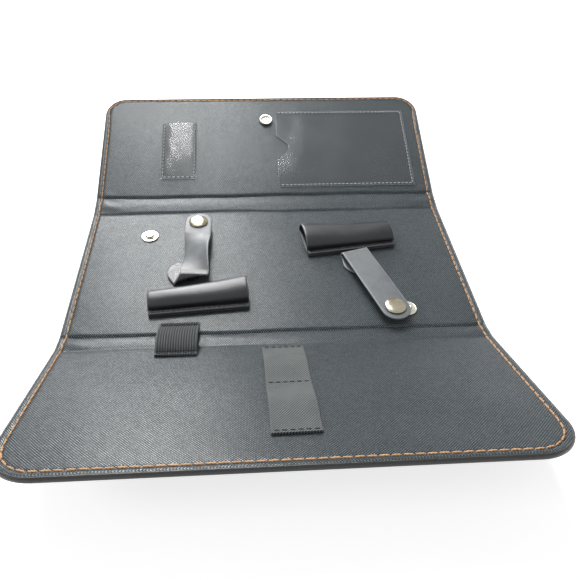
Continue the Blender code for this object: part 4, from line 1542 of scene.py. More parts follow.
@dataclass
class Sheath:
    """A tapered sheath: one hide folded round at the back and sewn along its front edge."""

    name: str
    finishes: Finishes
    place: tuple[float, float]
    turn: float
    heading: int
    mouth: tuple[float, float]
    tail: tuple[float, float]
    length: float = 59.5 * MM
    wall: float = 1.3 * MM
    flange: float = 3.2 * MM
    base: float = 3.1 * MM
    arch_power: float = 0.8
    taper_power: float = 1.5
    stations: int = 44
    around: int = 36
    seam_inset: float = 1.5 * MM

    def world(self, points: Array) -> Array:
        """Turns points in the sheath's own frame into the case's frame.

        Args:
            points: points in the piece's own frame.

        Returns:
            The points in the case's frame.
        """
        angle = math.radians(self.turn)
        turn = np.array([[math.cos(angle), -math.sin(angle), 0], [math.sin(angle), math.cos(angle), 0], [0, 0, 1]])
        return points @ turn.T + np.array([*self.place, self.base])

    def size_at(self, along: float) -> tuple[float, float]:
        """The sheath's depth and height at a share of its length.

        Args:
            along: the share of the length, from the mouth.

        Returns:
            The depth and the height.
        """
        flare = (1 - along) ** self.taper_power
        depth = self.tail[0] + (self.mouth[0] - self.tail[0]) * flare
        return depth, self.tail[1] + (self.mouth[1] - self.tail[1]) * flare

    def wave(self, x: float, share: Array) -> Array:
        """Shallow hollows where the hide has been handled."""
        return 0.22 * MM * np.sin(x / (8.5 * MM) + 2.2 * share) * np.sin(math.pi * share) ** 2

    def shell(self, along: float, skin: float) -> Array:
        """One ring of the hide: skin 0 is its outer face and 1 its inner face.

        Args:
            along: the share of the length.
            skin: how deep in the wall the ring runs.

        Returns:
            The ring's points in the sheath's frame, from the back over the top to the sewn edge and back below.
        """
        depth, height = self.size_at(min(max(along, 0.0), 1.0))
        x = self.heading * along * self.length
        share = np.linspace(0.0, 1.0, self.around + 1)
        angle = math.pi * share
        lift = np.sin(angle) ** self.arch_power
        lift[[0, -1]] = 0.0
        reach = depth / 2
        low = self.wall * (1 - np.cos(angle))
        outer_y = self.flange + reach + reach * np.cos(angle)
        outer_z = low + (height - low) * lift + self.wave(x, share)
        inner_y = self.flange + reach + (reach - self.wall) * np.cos(angle)
        inner_z = self.wall + (height - 2 * self.wall) * lift + self.wave(x, share)
        y = outer_y + (inner_y - outer_y) * skin
        z = outer_z + (inner_z - outer_z) * skin
        if skin == 0.0:
            edge_y = np.array([self.flange * 0.6, 0.25 * MM, 0.0, 0.12 * MM, 0.35 * MM, 0.12 * MM, 0.0, 0.25 * MM])
            edge_z = np.array([2.0, 2.0, 1.75, 1.12, 1.0, 0.88, 0.2, 0.0]) * self.wall
        else:
            stop = (1 - skin) * self.flange * 0.9
            edge_y = np.full(8, stop)
            edge_z = np.array([1.5, 1.3, 1.2, 1.1, 1.0, 0.9, 0.7, 0.5]) * self.wall
            edge_z = 1.0 * self.wall + (edge_z - self.wall) * (1 - skin)
        y = np.concatenate([y, edge_y])
        z = np.concatenate([z, edge_z])
        return np.stack([np.full_like(y, x), y, z], axis=1)

    def build(self) -> Object:
        """Makes the sheath and the stitches along its edge.

        Returns:
            The sheath.
        """
        rim = 0.45 * MM / self.length
        inner = np.linspace(rim, 1 - rim, self.stations)[1:-1]
        places = np.concatenate([[0.0, 0.3 * rim, rim], inner, [1 - rim, 1 - 0.3 * rim, 1.0]])
        rings = [(0.0, 0.5), (0.15 * rim, 0.2)] + [(p, 0.0) for p in places[2:-2]] + [(1 - 0.15 * rim, 0.2), (1.0, 0.5)]
        rings += [(1 - 0.15 * rim, 0.8)] + [(p, 1.0) for p in places[2:-2][::-1][::3]] + [(0.15 * rim, 0.8)]
        points = np.array([self.world(self.shell(p, skin)) for p, skin in rings])
        count, around = points.shape[:2]
        faces = ring_faces(count, around)
        last = (count - 1) * around
        faces += [(last + i, last + (i + 1) % around, (i + 1) % around, i) for i in range(around)]
        flat = points.reshape(-1, 3)
        middle = flat.mean(axis=0)
        sample = faces[around * 12 + self.around // 2]
        normal = np.cross(flat[sample[1]] - flat[sample[0]], flat[sample[2]] - flat[sample[0]])
        if np.dot(normal, flat[sample[0]] - middle) < 0:
            faces = [f[::-1] for f in faces]
        edge = np.array([[min(p, 1 - p) * self.length + skin * 0.2 * MM] * around for p, skin in rings])
        edge[:, -8:] = np.minimum(edge[:, -8:], np.abs(np.array([1.9, 0.3, 0.0, 0.2, 0.5, 0.2, 0.0, 0.3]) * MM))
        hide = self.finishes.sheath
        piece = add_piece(self.name, flat, faces, hide, edge=edge.reshape(-1), sharp=60.0)
        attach(piece, "middle")
        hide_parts(self.name)
        x = np.linspace(1.6 * MM, self.length - 1.6 * MM, 40)
        level = np.full_like(x, 2 * self.wall + 0.02 * MM)
        path = np.stack([self.heading * x, np.full_like(x, self.seam_inset), level], axis=1)
        line = self.world(SHEATH_SEAM.trimmed(path))
        sewn = SHEATH_SEAM.sew(f"{self.name}_stitches", [(line, UP)], self.finishes.dark_thread)
        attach(sewn, "middle")
        LOG.info("%s: hide and stitches", self.name)
        return piece


@dataclass
class SnapSizes:
    """The sizes of the snap fasteners."""

    stud_radius: float = 5.7 * MM
    stud_flange: float = 0.6 * MM
    boss_radius: float = 2.7 * MM
    stud_height: float = 2.0 * MM
    bore_radius: float = 1.4 * MM
    cap_radius: float = 6.2 * MM
    cap_height: float = 1.6 * MM
    cap_rim: float = 0.4 * MM
    socket_radius: float = 5.0 * MM
    socket_height: float = 1.9 * MM
    socket_plate: float = 0.6 * MM
    shank_radius: float = 1.1 * MM

    def stud(self) -> list[tuple[float, float]]:
        """The stud's half section: wide flange with a turned-up rim, waisted boss and its bore.

        Returns:
            The section's corners as radius and height.
        """
        r, t, b, h, o = self.stud_radius, self.stud_flange, self.boss_radius, self.stud_height, self.bore_radius
        waist = (b + o) / 2
        corners = [
            (o, 0.0), (r, 0.0), (r, 0.8 * t), (r - 0.5 * t, 1.05 * t), (r - 1.2 * t, 0.85 * t), (b + 0.3 * t, 0.75 * t),
            (b - 0.25 * t, 1.3 * t), (b, 0.72 * h), (b - 0.2 * t, 0.97 * h), (waist, h), (o + 0.1 * t, 0.95 * h),
            (o, 0.6 * h), (o, 0.0),
        ]
        return smooth_profile(corners, 0.3 * MM)[:-1]

    def cap(self, shank: float) -> list[tuple[float, float]]:
        """The cap's half section: a low dome over a rolled rim, with its shank below.

        Args:
            shank: how far the shank reaches down.

        Returns:
            The section's corners as radius and height.
        """
        r, rim = self.cap_radius, self.cap_rim
        points = [(0.0, -shank), (self.shank_radius, -shank), (self.shank_radius, 0.05 * MM)]
        points += [(r - 0.5 * MM, 0.05 * MM), (r - 0.1 * MM, 0.0), (r, 0.12 * MM), (r, rim)]
        for i in range(1, 14):
            angle = math.pi / 2 * i / 14
            points.append((r * math.cos(angle) ** 0.9, rim + (self.cap_height - rim) * math.sin(angle)))
        points.append((0.0, self.cap_height))
        return points

    def socket(self) -> list[tuple[float, float]]:
        """The socket's half section: back plate, wall and a rolled lip round its mouth.

        Returns:
            The section's corners as radius and height.
        """
        r, h, p = self.socket_radius, self.socket_height, self.socket_plate
        bore = self.boss_radius + 0.5 * MM
        hole = self.shank_radius + 0.3 * MM
        corners = [
            (hole, 0.0), (r, 0.0), (r, 0.75 * h), (r - 0.35 * MM, h), (bore + 0.5 * MM, h), (bore, 0.8 * h),
            (bore + 0.25 * MM, 0.6 * h), (bore + 0.25 * MM, p), (hole + 0.6 * MM, p), (hole, 0.8 * p), (hole, 0.0),
        ]
        return smooth_profile(corners, 0.3 * MM)[:-1]


@dataclass
class Snaps:
    """The snap fasteners that sit on the panels: both studs and the closing snap."""

    finishes: Finishes
    sizes: SnapSizes = field(default_factory=SnapSizes)
    left_stud: tuple = (-0.08051, 0.03110)
    right_stud: tuple = (0.07869, -0.04240)
    closure_x: float = 0.00169
    socket_v: float = 0.07055
    stud_v: float = 0.04275
    gap: float = 0.3 * MM
    stack: float = 2.8 * MM
    closure_shank: float = 4.0 * MM

    def build(self) -> None:
        """Makes the studs, the closing snap's cap and socket, and its stud."""
        top = LINE.top
        for name, (x, y) in (("left_stud", self.left_stud), ("right_stud", self.right_stud)):
            centre = np.array([x, y, top + self.gap])
            stud = spun(name + "_turned", self.sizes.stud(), centre, UP, self.finishes.nickel)
            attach(stud, "middle")
            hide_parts(name)
        creases = LINE.creases()
        socket_s = creases["rear_far"] + self.socket_v
        stud_s = creases["front_far"] - self.stud_v
        under = -self.stack - self.gap
        for name, profile, s, h, way, body in (
            ("closure_socket", self.sizes.socket(), socket_s, self.gap, 1, "rear_panel"),
            ("closure_cap", self.sizes.cap(self.closure_shank), socket_s, under, -1, "rear_panel"),
            ("closure_stud", self.sizes.stud(), stud_s, under, -1, "front_panel"),
        ):
            centre = LINE.place(self.closure_x, np.array([s]), h)[0]
            piece = spun(name + "_turned", profile, centre, way * LINE.up(s), self.finishes.nickel)
            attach(piece, body)
            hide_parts(name)
        LOG.info("snaps: two studs and the closing snap")


@dataclass
class Strap:
    """A strap with its snap: a sewn tab that folds over, and a free flap that carries the cap and the socket."""

    name: str
    finishes: Finishes
    anchor: tuple[float, float]
    stud: tuple[float, float]
    angle: float
    skew: float
    twist: float
    offset_share: float
    sizes: SnapSizes = field(default_factory=SnapSizes)
    width: float = 17.6 * MM
    thickness: float = 1.3 * MM
    tip_length: float = 9.6 * MM
    bend_radius: float = 1.9 * MM
    tab_length: float = 15.0 * MM
    arch: float = 1.0 * MM
    lift_clearance: float = 0.3 * MM
    gap: float = 0.3 * MM
    height: float = 4.8 * MM
    lip_share: float = 0.18
    lean_share: float = 0.62
    across: int = 18

    def world(self, points: Array) -> Array:
        """Turns points in the strap's own frame into the case's frame.

        Args:
            points: points in the piece's own frame.

        Returns:
            The points in the case's frame.
        """
        angle = -math.radians(self.angle)
        turn = np.array([[math.cos(angle), -math.sin(angle), 0], [math.sin(angle), math.cos(angle), 0], [0, 0, 1]])
        return points @ turn.T + np.array([*self.anchor, LINE.top])

    def reach(self) -> float:
        """How far the snap lies from the sewn end that the strap turns about."""
        return math.hypot(self.stud[0] - self.anchor[0], self.stud[1] - self.anchor[1])

    def section(self, half: float, edge: float) -> tuple[Array, Array]:
        """The leather's cross-section: flat faces with rounded, slightly pressed edges.

        Args:
            half: half the width here.
            edge: the distance from the strap's end, which limits the edge values.

        Returns:
            Offsets across and up for each point, and each point's distance from the rim.
        """
        t = self.thickness / 2
        soft = min(0.55 * MM, half * 0.6)
        flat = np.linspace(-half + soft, half - soft, self.across)
        turn = np.linspace(math.pi / 2, -math.pi / 2, 7)[1:-1]
        right = np.stack([half - soft + soft * np.cos(turn), t * np.sin(turn)], axis=1)
        top = np.stack([flat, np.full_like(flat, t)], axis=1)
        loop = np.concatenate([top, right, -top, -right])
        inside = np.minimum(half - np.abs(loop[:, 0]), edge)
        return loop, inside

    def sweep(
        self, stations: Sequence[tuple[Array, Array, float, float]]
    ) -> tuple[Array, Array, Array]:
        """Runs the section along stations of centre, side vector, half width and distance from the end.

        Args:
            stations: the stations, in the strap's own frame.

        Returns:
            The rings, their real lengths and their distances from the edge.
        """
        centres = np.array([s[0] for s in stations])
        ahead = np.gradient(centres, axis=0)
        along = np.concatenate([[0.0], np.cumsum(np.linalg.norm(np.diff(centres, axis=0), axis=1))])
        rings, lengths, edges = [], [], []
        for (centre, side, half, edge), direction, v in zip(stations, ahead, along):
            up = np.cross(side, direction)
            up /= np.linalg.norm(up)
            loop, inside = self.section(half, edge)
            rings.append(centre + loop[:, :1] * side + loop[:, 1:] * up)
            lengths.append(np.stack([loop[:, 0], np.full(len(loop), v)], axis=1))
            edges.append(inside)
        return np.array(rings), np.array(lengths), np.array(edges)

    def root(self) -> Object:
        """Makes the sewn tab and the fold.

        Returns:
            The piece.
        """
        low = self.gap + self.thickness / 2
        high = self.height + self.thickness / 2
        rise = (high - low) / 2
        heading = math.radians(self.skew)
        side = np.array([math.cos(heading), math.sin(heading), 0.0])
        half = self.width / 2
        offset = self.offset_share * self.width
        stations = []
        for i in range(24):
            v = self.tab_length * (1 - i / 24)
            inner = half - min(self.tab_length - v + 0.4 * MM, half)
            width = math.sqrt(half * half - inner * inner)
            centre = np.array([-v * math.sin(heading), v * math.cos(heading), low])
            stations.append((centre, side, width, self.tab_length - v))
        steps = 40
        for i in range(steps + 1):
            turn = float(smoothstep(np.array(i / steps)))
            angle = math.pi * i / steps - math.pi / 2
            facing = heading * (1 - turn)
            centre = np.array([offset * turn, -self.bend_radius * math.cos(angle), low + rise * (1 + math.sin(angle))])
            stations.append((centre, np.array([math.cos(facing), math.sin(facing), 0.0]), half, half))
        stations.append((np.array([offset, 0.4 * MM, high]), np.array([1.0, 0.0, 0.0]), half, half))
        rings, lengths, edges = self.sweep(stations)
        # The left strap's fold takes the darker copy of the strap leather as painted shade.
        finish = self.finishes.tab if self.twist else self.finishes.strap
        piece = tube(f"{self.name}_fold", self.world(rings), finish, lengths, edges, 60.0)
        ends = self.world(np.array([[0.0, 0.0, 2.0 * MM], [0.0, 0.0, 4.4 * MM]]))
        tuple(ends[0])
        tuple(ends[1])
        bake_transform(piece)
        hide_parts(f"{self.name}_root")
        return piece

    def flap(self) -> Object:
        """Makes the free flap, from the fold to its round tip.

        Returns:
            The piece.
        """
        lip = self.width * self.lip_share
        crease = lip + self.lift_clearance / 2
        offset = self.offset_share * self.width
        snap_x, snap_y = -offset, self.reach() - crease
        length = snap_y + self.tip_length
        half = self.width / 2
        straight = length - half
        lean_end = length * self.lean_share
        ys = list(np.linspace(-crease + 0.4 * MM, straight, 70))
        turns = np.linspace(0.0, math.radians(89.0), 24)[1:]
        ys += list(straight + half * np.sin(turns))
        stations = []
        for y in ys:
            inner = max(y, 0.0)
            lean = math.radians(self.twist) * math.sin(math.pi * min(inner / lean_end, 1.0))
            width = half if y <= straight else math.sqrt(max(half * half - (y - straight) ** 2, 1e-9))
            arch = self.arch * math.sin(math.pi * min(inner / snap_y, 1.0)) if self.twist else 0.0
            x = snap_x * min(inner / snap_y, 1.0)
            centre = np.array([offset + x, crease + y, self.height + self.thickness / 2 + arch * (1 - inner / length)])
            stations.append((centre, np.array([math.cos(lean), 0.0, math.sin(lean)]), width, half))
        rings, lengths, edges = self.sweep(stations)
        finish = self.finishes.strap
        piece = tube(f"{self.name}_leather", self.world(rings), finish, lengths, edges, 60.0)
        top = self.height + self.thickness
        ends = self.world(np.array([[offset, crease - 1.6 * MM, top], [offset, crease + 1.6 * MM, top]]))
        tuple(ends[0])
        tuple(ends[1])
        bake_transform(piece)
        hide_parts(self.name)
        return piece

    def build(self) -> None:
        """Makes the strap and its snap."""
        self.root()
        self.flap()
        place = self.world(np.array([0.0, self.reach(), self.height + self.thickness + self.gap]))
        shank = 2 * self.gap + self.thickness + self.sizes.socket_plate
        cap = spun(f"{self.name}_cap_turned", self.sizes.cap(shank), place, UP, self.finishes.cap)
        lower = place - (2 * self.gap + self.thickness) * UP
        socket = spun(f"{self.name}_socket_turned", self.sizes.socket(), lower, -UP, self.finishes.nickel)
        for piece, node in ((cap, f"{self.name}_cap"), (socket, f"{self.name}_socket")):
            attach(piece, self.name)
            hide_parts(node)
        LOG.info("%s: tab, flap, cap and socket", self.name)


@dataclass
class FilmPocket:
    """A clear pocket sewn to the rear panel on three sides."""

    name: str
    finishes: Finishes
    centre: tuple[float, float]
    size: tuple[float, float]
    bulge: float
    open_left: bool
    thickness: float = 0.4 * MM
    gap: float = 0.3 * MM
    notch: tuple = (9.0 * MM, 22.0 * MM)
    seam_inset: float = 1.6 * MM
    steps: int = 56

    def place(self, along: Array, across: Array, layer: float) -> Array:
        """Points of the film.

        Args:
            along: from -1 at the left to 1 at the right.
            across: from -1 at the bottom to 1 at the top.
            layer: 0 for its lower face and 1 for its upper face.

        Returns:
            The points in the case's frame.
        """
        bite = np.zeros_like(along)
        if self.open_left:
            reach = np.minimum(np.abs(across) * self.size[1] / self.notch[1], 1.0)
            bite = self.notch[0] * (1 - reach * reach) * (1 - along) / 2
            swell = (1 - across**4) * (1 - np.maximum(along, 0.0) ** 2)
        else:
            swell = (1 - along**4) * (1 - np.maximum(-across, 0.0) ** 2)
        ripple = 0.10 * MM * np.sin(9 * along + 3 * across) * np.sin(5 * across + 1.0)
        ripple = ripple * (1 - along**6) * (1 - across**6)
        x = self.centre[0] + along * self.size[0] / 2 + bite
        s = LINE.creases()["rear_far"] + self.centre[1] + across * self.size[1] / 2
        return LINE.place(x, s, self.gap + self.bulge * swell + ripple + layer * self.thickness)

    def seam_paths(self) -> list[Stretch]:
        """The three sewn sides of the film.

        Returns:
            Each side's points and the direction away from the film.
        """
        end_x = 1 - 2 * self.seam_inset / self.size[0]
        end_s = 1 - 2 * self.seam_inset / self.size[1]
        line = np.linspace(-1.0, 1.0, 40)
        ones = np.ones_like(line)
        right, below = (ones * end_x, line * end_s), (line * end_x, -ones * end_s)
        if self.open_left:
            sides = [(line * end_x, ones * end_s), right, below]
        else:
            sides = [(-ones * end_x, line * end_s), below, right]
        up = LINE.up(LINE.creases()["rear_far"] + self.centre[1])
        return [(POCKET_SEAM.trimmed(self.place(along, across, 1.1)), up) for along, across in sides]

    def build(self) -> Object:
        """Makes the film and its stitches.

        Returns:
            The film.
        """
        line = np.linspace(-1.0, 1.0, self.steps + 1)
        line = np.sign(line) * (1 - (1 - np.abs(line)) ** 1.4)
        along, across = np.meshgrid(line, line)
        low, high = self.place(along, across, 0.0), self.place(along, across, 1.0)
        n = self.steps + 1
        points = np.concatenate([low.reshape(-1, 3), high.reshape(-1, 3)])
        quads = grid_faces(n, n)
        faces = [q[::-1] for q in quads] + [tuple(n * n + k for k in q) for q in quads]
        rim = border(n, n)
        for a, b in zip(rim, rim[1:] + rim[:1]):
            faces.append((a, b, n * n + b, n * n + a))
        half_x, half_s = self.size[0] / 2, self.size[1] / 2
        inside = np.minimum((1 - np.abs(along)) * half_x, (1 - np.abs(across)) * half_s).reshape(-1)
        distance = np.concatenate([inside, inside])
        piece = add_piece(f"{self.name}_film", points, faces, self.finishes.film, edge=distance)
        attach(piece, "rear_panel")
        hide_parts(self.name)
        sewn = POCKET_SEAM.sew(f"{self.name}_stitches", self.seam_paths(), self.finishes.pale_thread)
        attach(sewn, "rear_panel")
        LOG.info("%s: film and stitches", self.name)
        return piece


@dataclass
class BandPiece:
    """A flat woven band swept along a path in the case's frame."""

    finishes: Finishes
    width: float
    thickness: float
    across: int = 24

    def rings(self, path: Array, sides: Array) -> tuple[Array, Array, Array]:
        """Runs the band's section along a path.

        Args:
            path: the middle line's points.
            sides: the direction across at each point.

        Returns:
            The rings, their real lengths and their distances from the edge.
        """
        ahead = np.gradient(path, axis=0)
        along = np.concatenate([[0.0], np.cumsum(np.linalg.norm(np.diff(path, axis=0), axis=1))])
        half, t = self.width / 2, self.thickness / 2
        flat = np.linspace(-half + t, half - t, self.across)
        turn = np.linspace(math.pi / 2, -math.pi / 2, 5)[1:-1]
        top = np.stack([flat, np.full_like(flat, t)], axis=1)
        right = np.stack([half - t + t * np.cos(turn), t * np.sin(turn)], axis=1)
        loop = np.concatenate([top, right, -top, -right])
        rings, lengths, edges = [], [], []
        for centre, side, direction, v in zip(path, sides, ahead, along):
            up = np.cross(side, direction)
            up /= np.linalg.norm(up)
            if up[2] < 0:
                up = -up
            rings.append(centre + loop[:, :1] * side + loop[:, 1:] * up)
            lengths.append(np.stack([loop[:, 0], np.full(len(loop), v)], axis=1))
            edges.append(half - np.abs(loop[:, 0]))
        return np.array(rings), np.array(lengths), np.array(edges)

    def sew_across(self, name: str, line: Array, up: Array, body: str) -> None:
        """Sews one seam across the band.

        Args:
            name: the seam's name.
            line: the seam's points, on the band's upper face.
            up: the direction away from the band.
            body: the body that the seam moves with.
        """
        sewn = BAND_SEAM.sew(name, [(BAND_SEAM.trimmed(line), up)], self.finishes.dark_thread)
        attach(sewn, body)


@dataclass
class ElasticLoop(BandPiece):
    """The ribbed elastic over the front fold, in two parts that meet over the middle of the front spine."""

    width: float = 22.8 * MM
    thickness: float = 1.1 * MM
    centre_x: float = -0.05549
    near_s: float = -0.04917
    far_v: float = 11.09 * MM
    tab: float = 3.0 * MM
    rise: float = 4.2 * MM
    rise_power: float = 0.7
    gap: float = 0.3 * MM

    def path(self) -> Array:
        """The elastic's middle line from the middle panel to the front panel.

        Returns:
            The line's points.
        """
        level = self.gap + self.thickness / 2
        far_s = LINE.creases()["front_far"] - self.far_v
        ends = np.array([self.near_s, self.near_s - self.tab, far_s + self.tab, far_s])
        marks = LINE.place(self.centre_x, ends, level)
        t = np.linspace(0.0, 1.0, 60)
        lift = self.rise * np.sin(math.pi * t) ** self.rise_power
        lift[[0, -1]] = 0.0
        bow = marks[1] + (marks[2] - marks[1]) * t[:, None]
        bow[:, 2] += lift
        first = np.linspace(marks[0], marks[1], 6)[:-1]
        last = np.linspace(marks[2], marks[3], 6)[1:]
        return np.concatenate([first, bow, last])

    def build(self) -> None:
        """Makes both parts of the elastic."""
        path = self.path()
        sides = np.broadcast_to(np.array([1.0, 0.0, 0.0]), path.shape)
        rings, lengths, edges = self.rings(path, sides)
        creases = LINE.creases()
        middle_s = (creases["front_far"] + creases["front_near"]) / 2
        middle_y = LINE.place(0.0, np.array([middle_s]), 0.0)[0][1]
        cut = int(np.argmin(np.abs(path[:, 1] - middle_y)))
        parts = (
            ("elastic_rear_half", slice(0, cut + 1), "middle", "front_spine", "front_near"),
            ("elastic_front_half", slice(cut, None), "front_spine", "front_panel", "front_far"),
        )
        for name, span, first, second, crease in parts:
            piece = tube(name, rings[span], self.finishes.elastic, lengths[span], edges[span])
            reach = 3.0 * MM
            ends = LINE.place(0.0, np.array([creases[crease] + reach, creases[crease] - reach]), 0.0)
            tuple(ends[0])
            tuple(ends[1])
            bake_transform(piece)
            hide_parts("elastic_loop")
        far_s = creases["front_far"] - self.far_v
        x = self.centre_x + np.linspace(-0.5, 0.5, 20) * (self.width - 2.4 * MM)
        for name, s, body in (
            ("elastic_rear_seam", self.near_s - self.tab / 2, "middle"),
            ("elastic_front_seam", far_s + self.tab / 2, "front_panel"),
        ):
            line = LINE.place(x, np.full_like(x, s), self.gap + self.thickness)
            self.sew_across(name, line, LINE.up(s), body)
        LOG.info("elastic loop: two halves and two seams")


@dataclass
class Webbing(BandPiece):
    """The webbing on the front panel, sewn across at three seams."""

    width: float = 22.6 * MM
    thickness: float = 1.0 * MM
    length: float = 78.0 * MM
    centre_x: float = 0.00279
    centre_v: float = 44.87 * MM
    angle: float = 0.9
    loop_rise: float = 1.8 * MM
    seam: float = 3.0 * MM
    gap: float = 0.3 * MM

    def place(self, across: Array, along: Array, h: Array) -> Array:
        """Points from their places on the band: across it, along it from its rear end, and out of the lining.

        Args:
            across: places across the band.
            along: places along the band.
            h: heights out of the lining.

        Returns:
            The points in the case's frame.
        """
        angle = math.radians(self.angle)
        v = np.asarray(along) - self.length / 2
        x = self.centre_x + across * math.cos(angle) + v * math.sin(angle)
        s = LINE.creases()["front_far"] - (self.centre_v + v * math.cos(angle) - across * math.sin(angle))
        return LINE.place(x, s, h)

    def build(self) -> None:
        """Makes the webbing."""
        along = np.linspace(0.0, self.length, 130)
        level = self.gap + self.thickness / 2
        span = (self.length - self.seam) / 2
        phase = np.clip((along % span - self.seam / 2) / (span - self.seam), 0.0, 1.0)
        phase = np.where(along >= 2 * span, 0.0, phase)
        h = level + self.loop_rise * np.sin(math.pi * phase) ** 2
        path = self.place(np.zeros_like(along), along, h)
        sides = self.place(np.full_like(along, 1 * MM), along, h) - path
        sides /= np.linalg.norm(sides, axis=1, keepdims=True)
        rings, lengths, edges = self.rings(path, sides)
        piece = tube("webbing_band", rings, self.finishes.webbing, lengths, edges)
        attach(piece, "front_panel")
        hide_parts("webbing_strip")
        across = np.linspace(-0.5, 0.5, 20) * (self.width - 2.4 * MM)
        up = LINE.up(LINE.creases()["front_far"] - self.centre_v)
        for name, at in (
            ("webbing_rear_seam", 1.2 * MM),
            ("webbing_middle_seam", span),
            ("webbing_front_seam", self.length - 1.5 * MM),
        ):
            line = self.place(across, np.full_like(across, at), self.gap + self.thickness)
            self.sew_across(name, line, up, "front_panel")
        LOG.info("webbing: band and three seams")


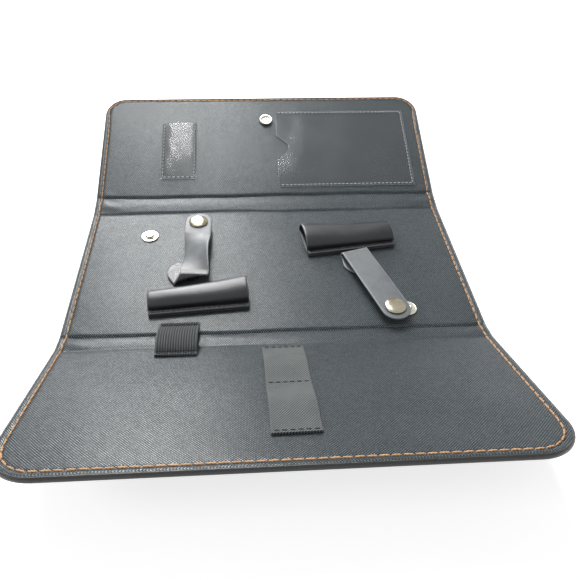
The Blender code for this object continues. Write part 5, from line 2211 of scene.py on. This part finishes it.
@dataclass
class Studio:
    """The floor, the background, the lamps and the camera."""

    floor_reach: float = 3.0
    floor_drop: float = 0.05 * MM
    floor_tone: float = 0.86
    floor_glow: float = 0.72
    world_level: float = 0.28
    camera_place: tuple = (-0.01535, -0.27635, 0.2523)
    pitch: float = 0.777
    yaw: float = 0.080
    roll: float = 0.0275
    lens: float = 35.97
    shift_x: float = 0.0138

    @staticmethod
    def seen_directly(n: Nodes) -> Socket:
        """1 for what the camera sees, also in metal and through film, and 0 for the light itself."""
        seen = n.add("ShaderNodeLightPath").outputs
        bounced = n.math("MAXIMUM", seen["Is Glossy Ray"], seen["Is Transmission Ray"])
        return n.math("MAXIMUM", seen["Is Camera Ray"], bounced)

    def background(self) -> None:
        """A plain level for the light, and white for what the camera, metal and film see."""
        world = bpy.data.worlds.new("studio")
        bpy.context.scene.world = world
        world.use_nodes = True
        n = Nodes(world.node_tree)
        level = n.mix(self.seen_directly(n), grey(self.world_level), grey(1.0))
        n.feed(world.node_tree.nodes["Background"].inputs["Color"], level)

    def floor(self) -> None:
        """A plain pale floor that keeps the case's shadow."""
        material = bpy.data.materials.new("pale_floor")
        material.use_nodes = True
        n = Nodes(material.node_tree)
        shader = material.node_tree.nodes["Principled BSDF"]
        shader.inputs["Base Color"].default_value = grey(self.floor_tone)
        shader.inputs["Roughness"].default_value = 0.9
        shader.inputs["Specular IOR Level"].default_value = 0.1
        n.feed(shader.inputs["Emission Color"], n.mix(self.seen_directly(n), grey(0.0), grey(1.0)))
        shader.inputs["Emission Strength"].default_value = self.floor_glow
        reach = self.floor_reach
        points = [(x * reach, y * reach, -self.floor_drop) for x, y in ((-1, -1), (1, -1), (1, 1), (-1, 1))]
        floor = add_piece("floor", np.array(points), [(0, 1, 2, 3)], material)
        floor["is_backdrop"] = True

    def lamp(self, name: str, place: tuple[float, float, float], size: tuple[float, float], power: float) -> None:
        """A soft oblong lamp that faces the middle of the case.

        Args:
            name: the lamp's name.
            place: where it hangs.
            size: its width and height.
            power: its power in watts.
        """
        light = bpy.data.lights.new(name, "AREA")
        light.shape = "RECTANGLE"
        light.size, light.size_y = size
        light.energy = power
        obj = bpy.data.objects.new(name, light)
        bpy.context.scene.collection.objects.link(obj)
        obj.location = place
        obj.rotation_euler = (-Vector(place)).to_track_quat("-Z", "Y").to_euler()
        obj.visible_camera = False

    def camera(self) -> None:
        """The camera at the photograph's place and angle."""
        level = math.cos(self.pitch)
        forward = Vector((math.sin(self.yaw) * level, math.cos(self.yaw) * level, -math.sin(self.pitch)))
        right = Vector((math.cos(self.yaw), -math.sin(self.yaw), 0.0))
        up = right.cross(forward)
        turned_right = math.cos(self.roll) * right + math.sin(self.roll) * up
        turned_up = -math.sin(self.roll) * right + math.cos(self.roll) * up
        data = bpy.data.cameras.new("photo_view")
        data.lens = self.lens
        data.sensor_width = 36.0
        data.shift_x = self.shift_x
        data.clip_start = 0.01
        camera = bpy.data.objects.new("photo_view", data)
        bpy.context.scene.collection.objects.link(camera)
        turn = Matrix((turned_right, turned_up, -forward)).transposed()
        camera.matrix_world = Matrix.Translation(self.camera_place) @ turn.to_4x4()
        bpy.context.scene.camera = camera

    def build(self) -> None:
        """Sets up the studio."""
        bpy.context.scene.view_settings.view_transform = "Standard"
        self.background()
        self.floor()
        self.lamp("window_softbox", place=(-0.20, 0.80, 0.68), size=(0.36, 1.15), power=19.0)
        self.lamp("side_softbox", place=(-0.95, -0.35, 0.85), size=(0.4, 0.4), power=2.5)
        self.camera()
        LOG.info("studio: floor, background, lamps and camera")


def dress_inner_nodes(finishes: Finishes) -> None:
    """Gives the boards and posts, which stay as the model's own nodes, their finishes."""
    for name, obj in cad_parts.items():
        if name.endswith("_board"):
            obj.data.materials.clear()
            obj.data.materials.append(finishes.board)
        elif name.endswith("_post"):
            obj.data.materials.clear()
            obj.data.materials.append(finishes.nickel)


def main() -> None:
    """Builds the studio and every sub-assembly in order."""
    logging.basicConfig(level=logging.INFO, format="%(name)s: %(message)s")
    Studio().build()
    finishes = Finishes()
    FoldedSheet(finishes).build()
    Sheath(
        "left_sheath", finishes, place=(-0.014994, -0.038703), turn=4.6, heading=-1,
        mouth=(21.2 * MM, 10.2 * MM), tail=(15.0 * MM, 8.0 * MM),
    ).build()
    Sheath(
        "right_sheath", finishes, place=(0.0236915, 0.0065034), turn=7.7, heading=1,
        mouth=(25.0 * MM, 10.6 * MM), tail=(18.6 * MM, 9.2 * MM),
    ).build()
    snaps = Snaps(finishes)
    snaps.build()
    Strap(
        "left_strap", finishes, anchor=(-0.054096, -0.011998), stud=snaps.left_stud,
        angle=6.9, skew=38.0, twist=25.0, offset_share=0.30,
    ).build()
    Strap(
        "right_strap", finishes, anchor=(0.053998, 0.0046), stud=snaps.right_stud,
        angle=162.5, skew=-14.0, twist=0.0, offset_share=0.0,
    ).build()
    rear = LINE.rear_depth
    FilmPocket(
        "key_pocket", finishes, centre=(-0.06468, 0.44 * rear), size=(26.2 * MM, 52.4 * MM),
        bulge=1.2 * MM, open_left=False,
    ).build()
    FilmPocket(
        "card_pocket", finishes, centre=(0.0594953, 0.454 * rear), size=(101.0095 * MM, 72.4 * MM),
        bulge=0.5 * MM, open_left=True,
    ).build()
    ElasticLoop(finishes).build()
    Webbing(finishes).build()
    dress_inner_nodes(finishes)
    boxes = {"cad": CAD_BOX, "visual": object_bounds()}
    {key: [list(map(float, corner)) for corner in box] for key, box in boxes.items()}


if __name__ == "__main__":
    main()
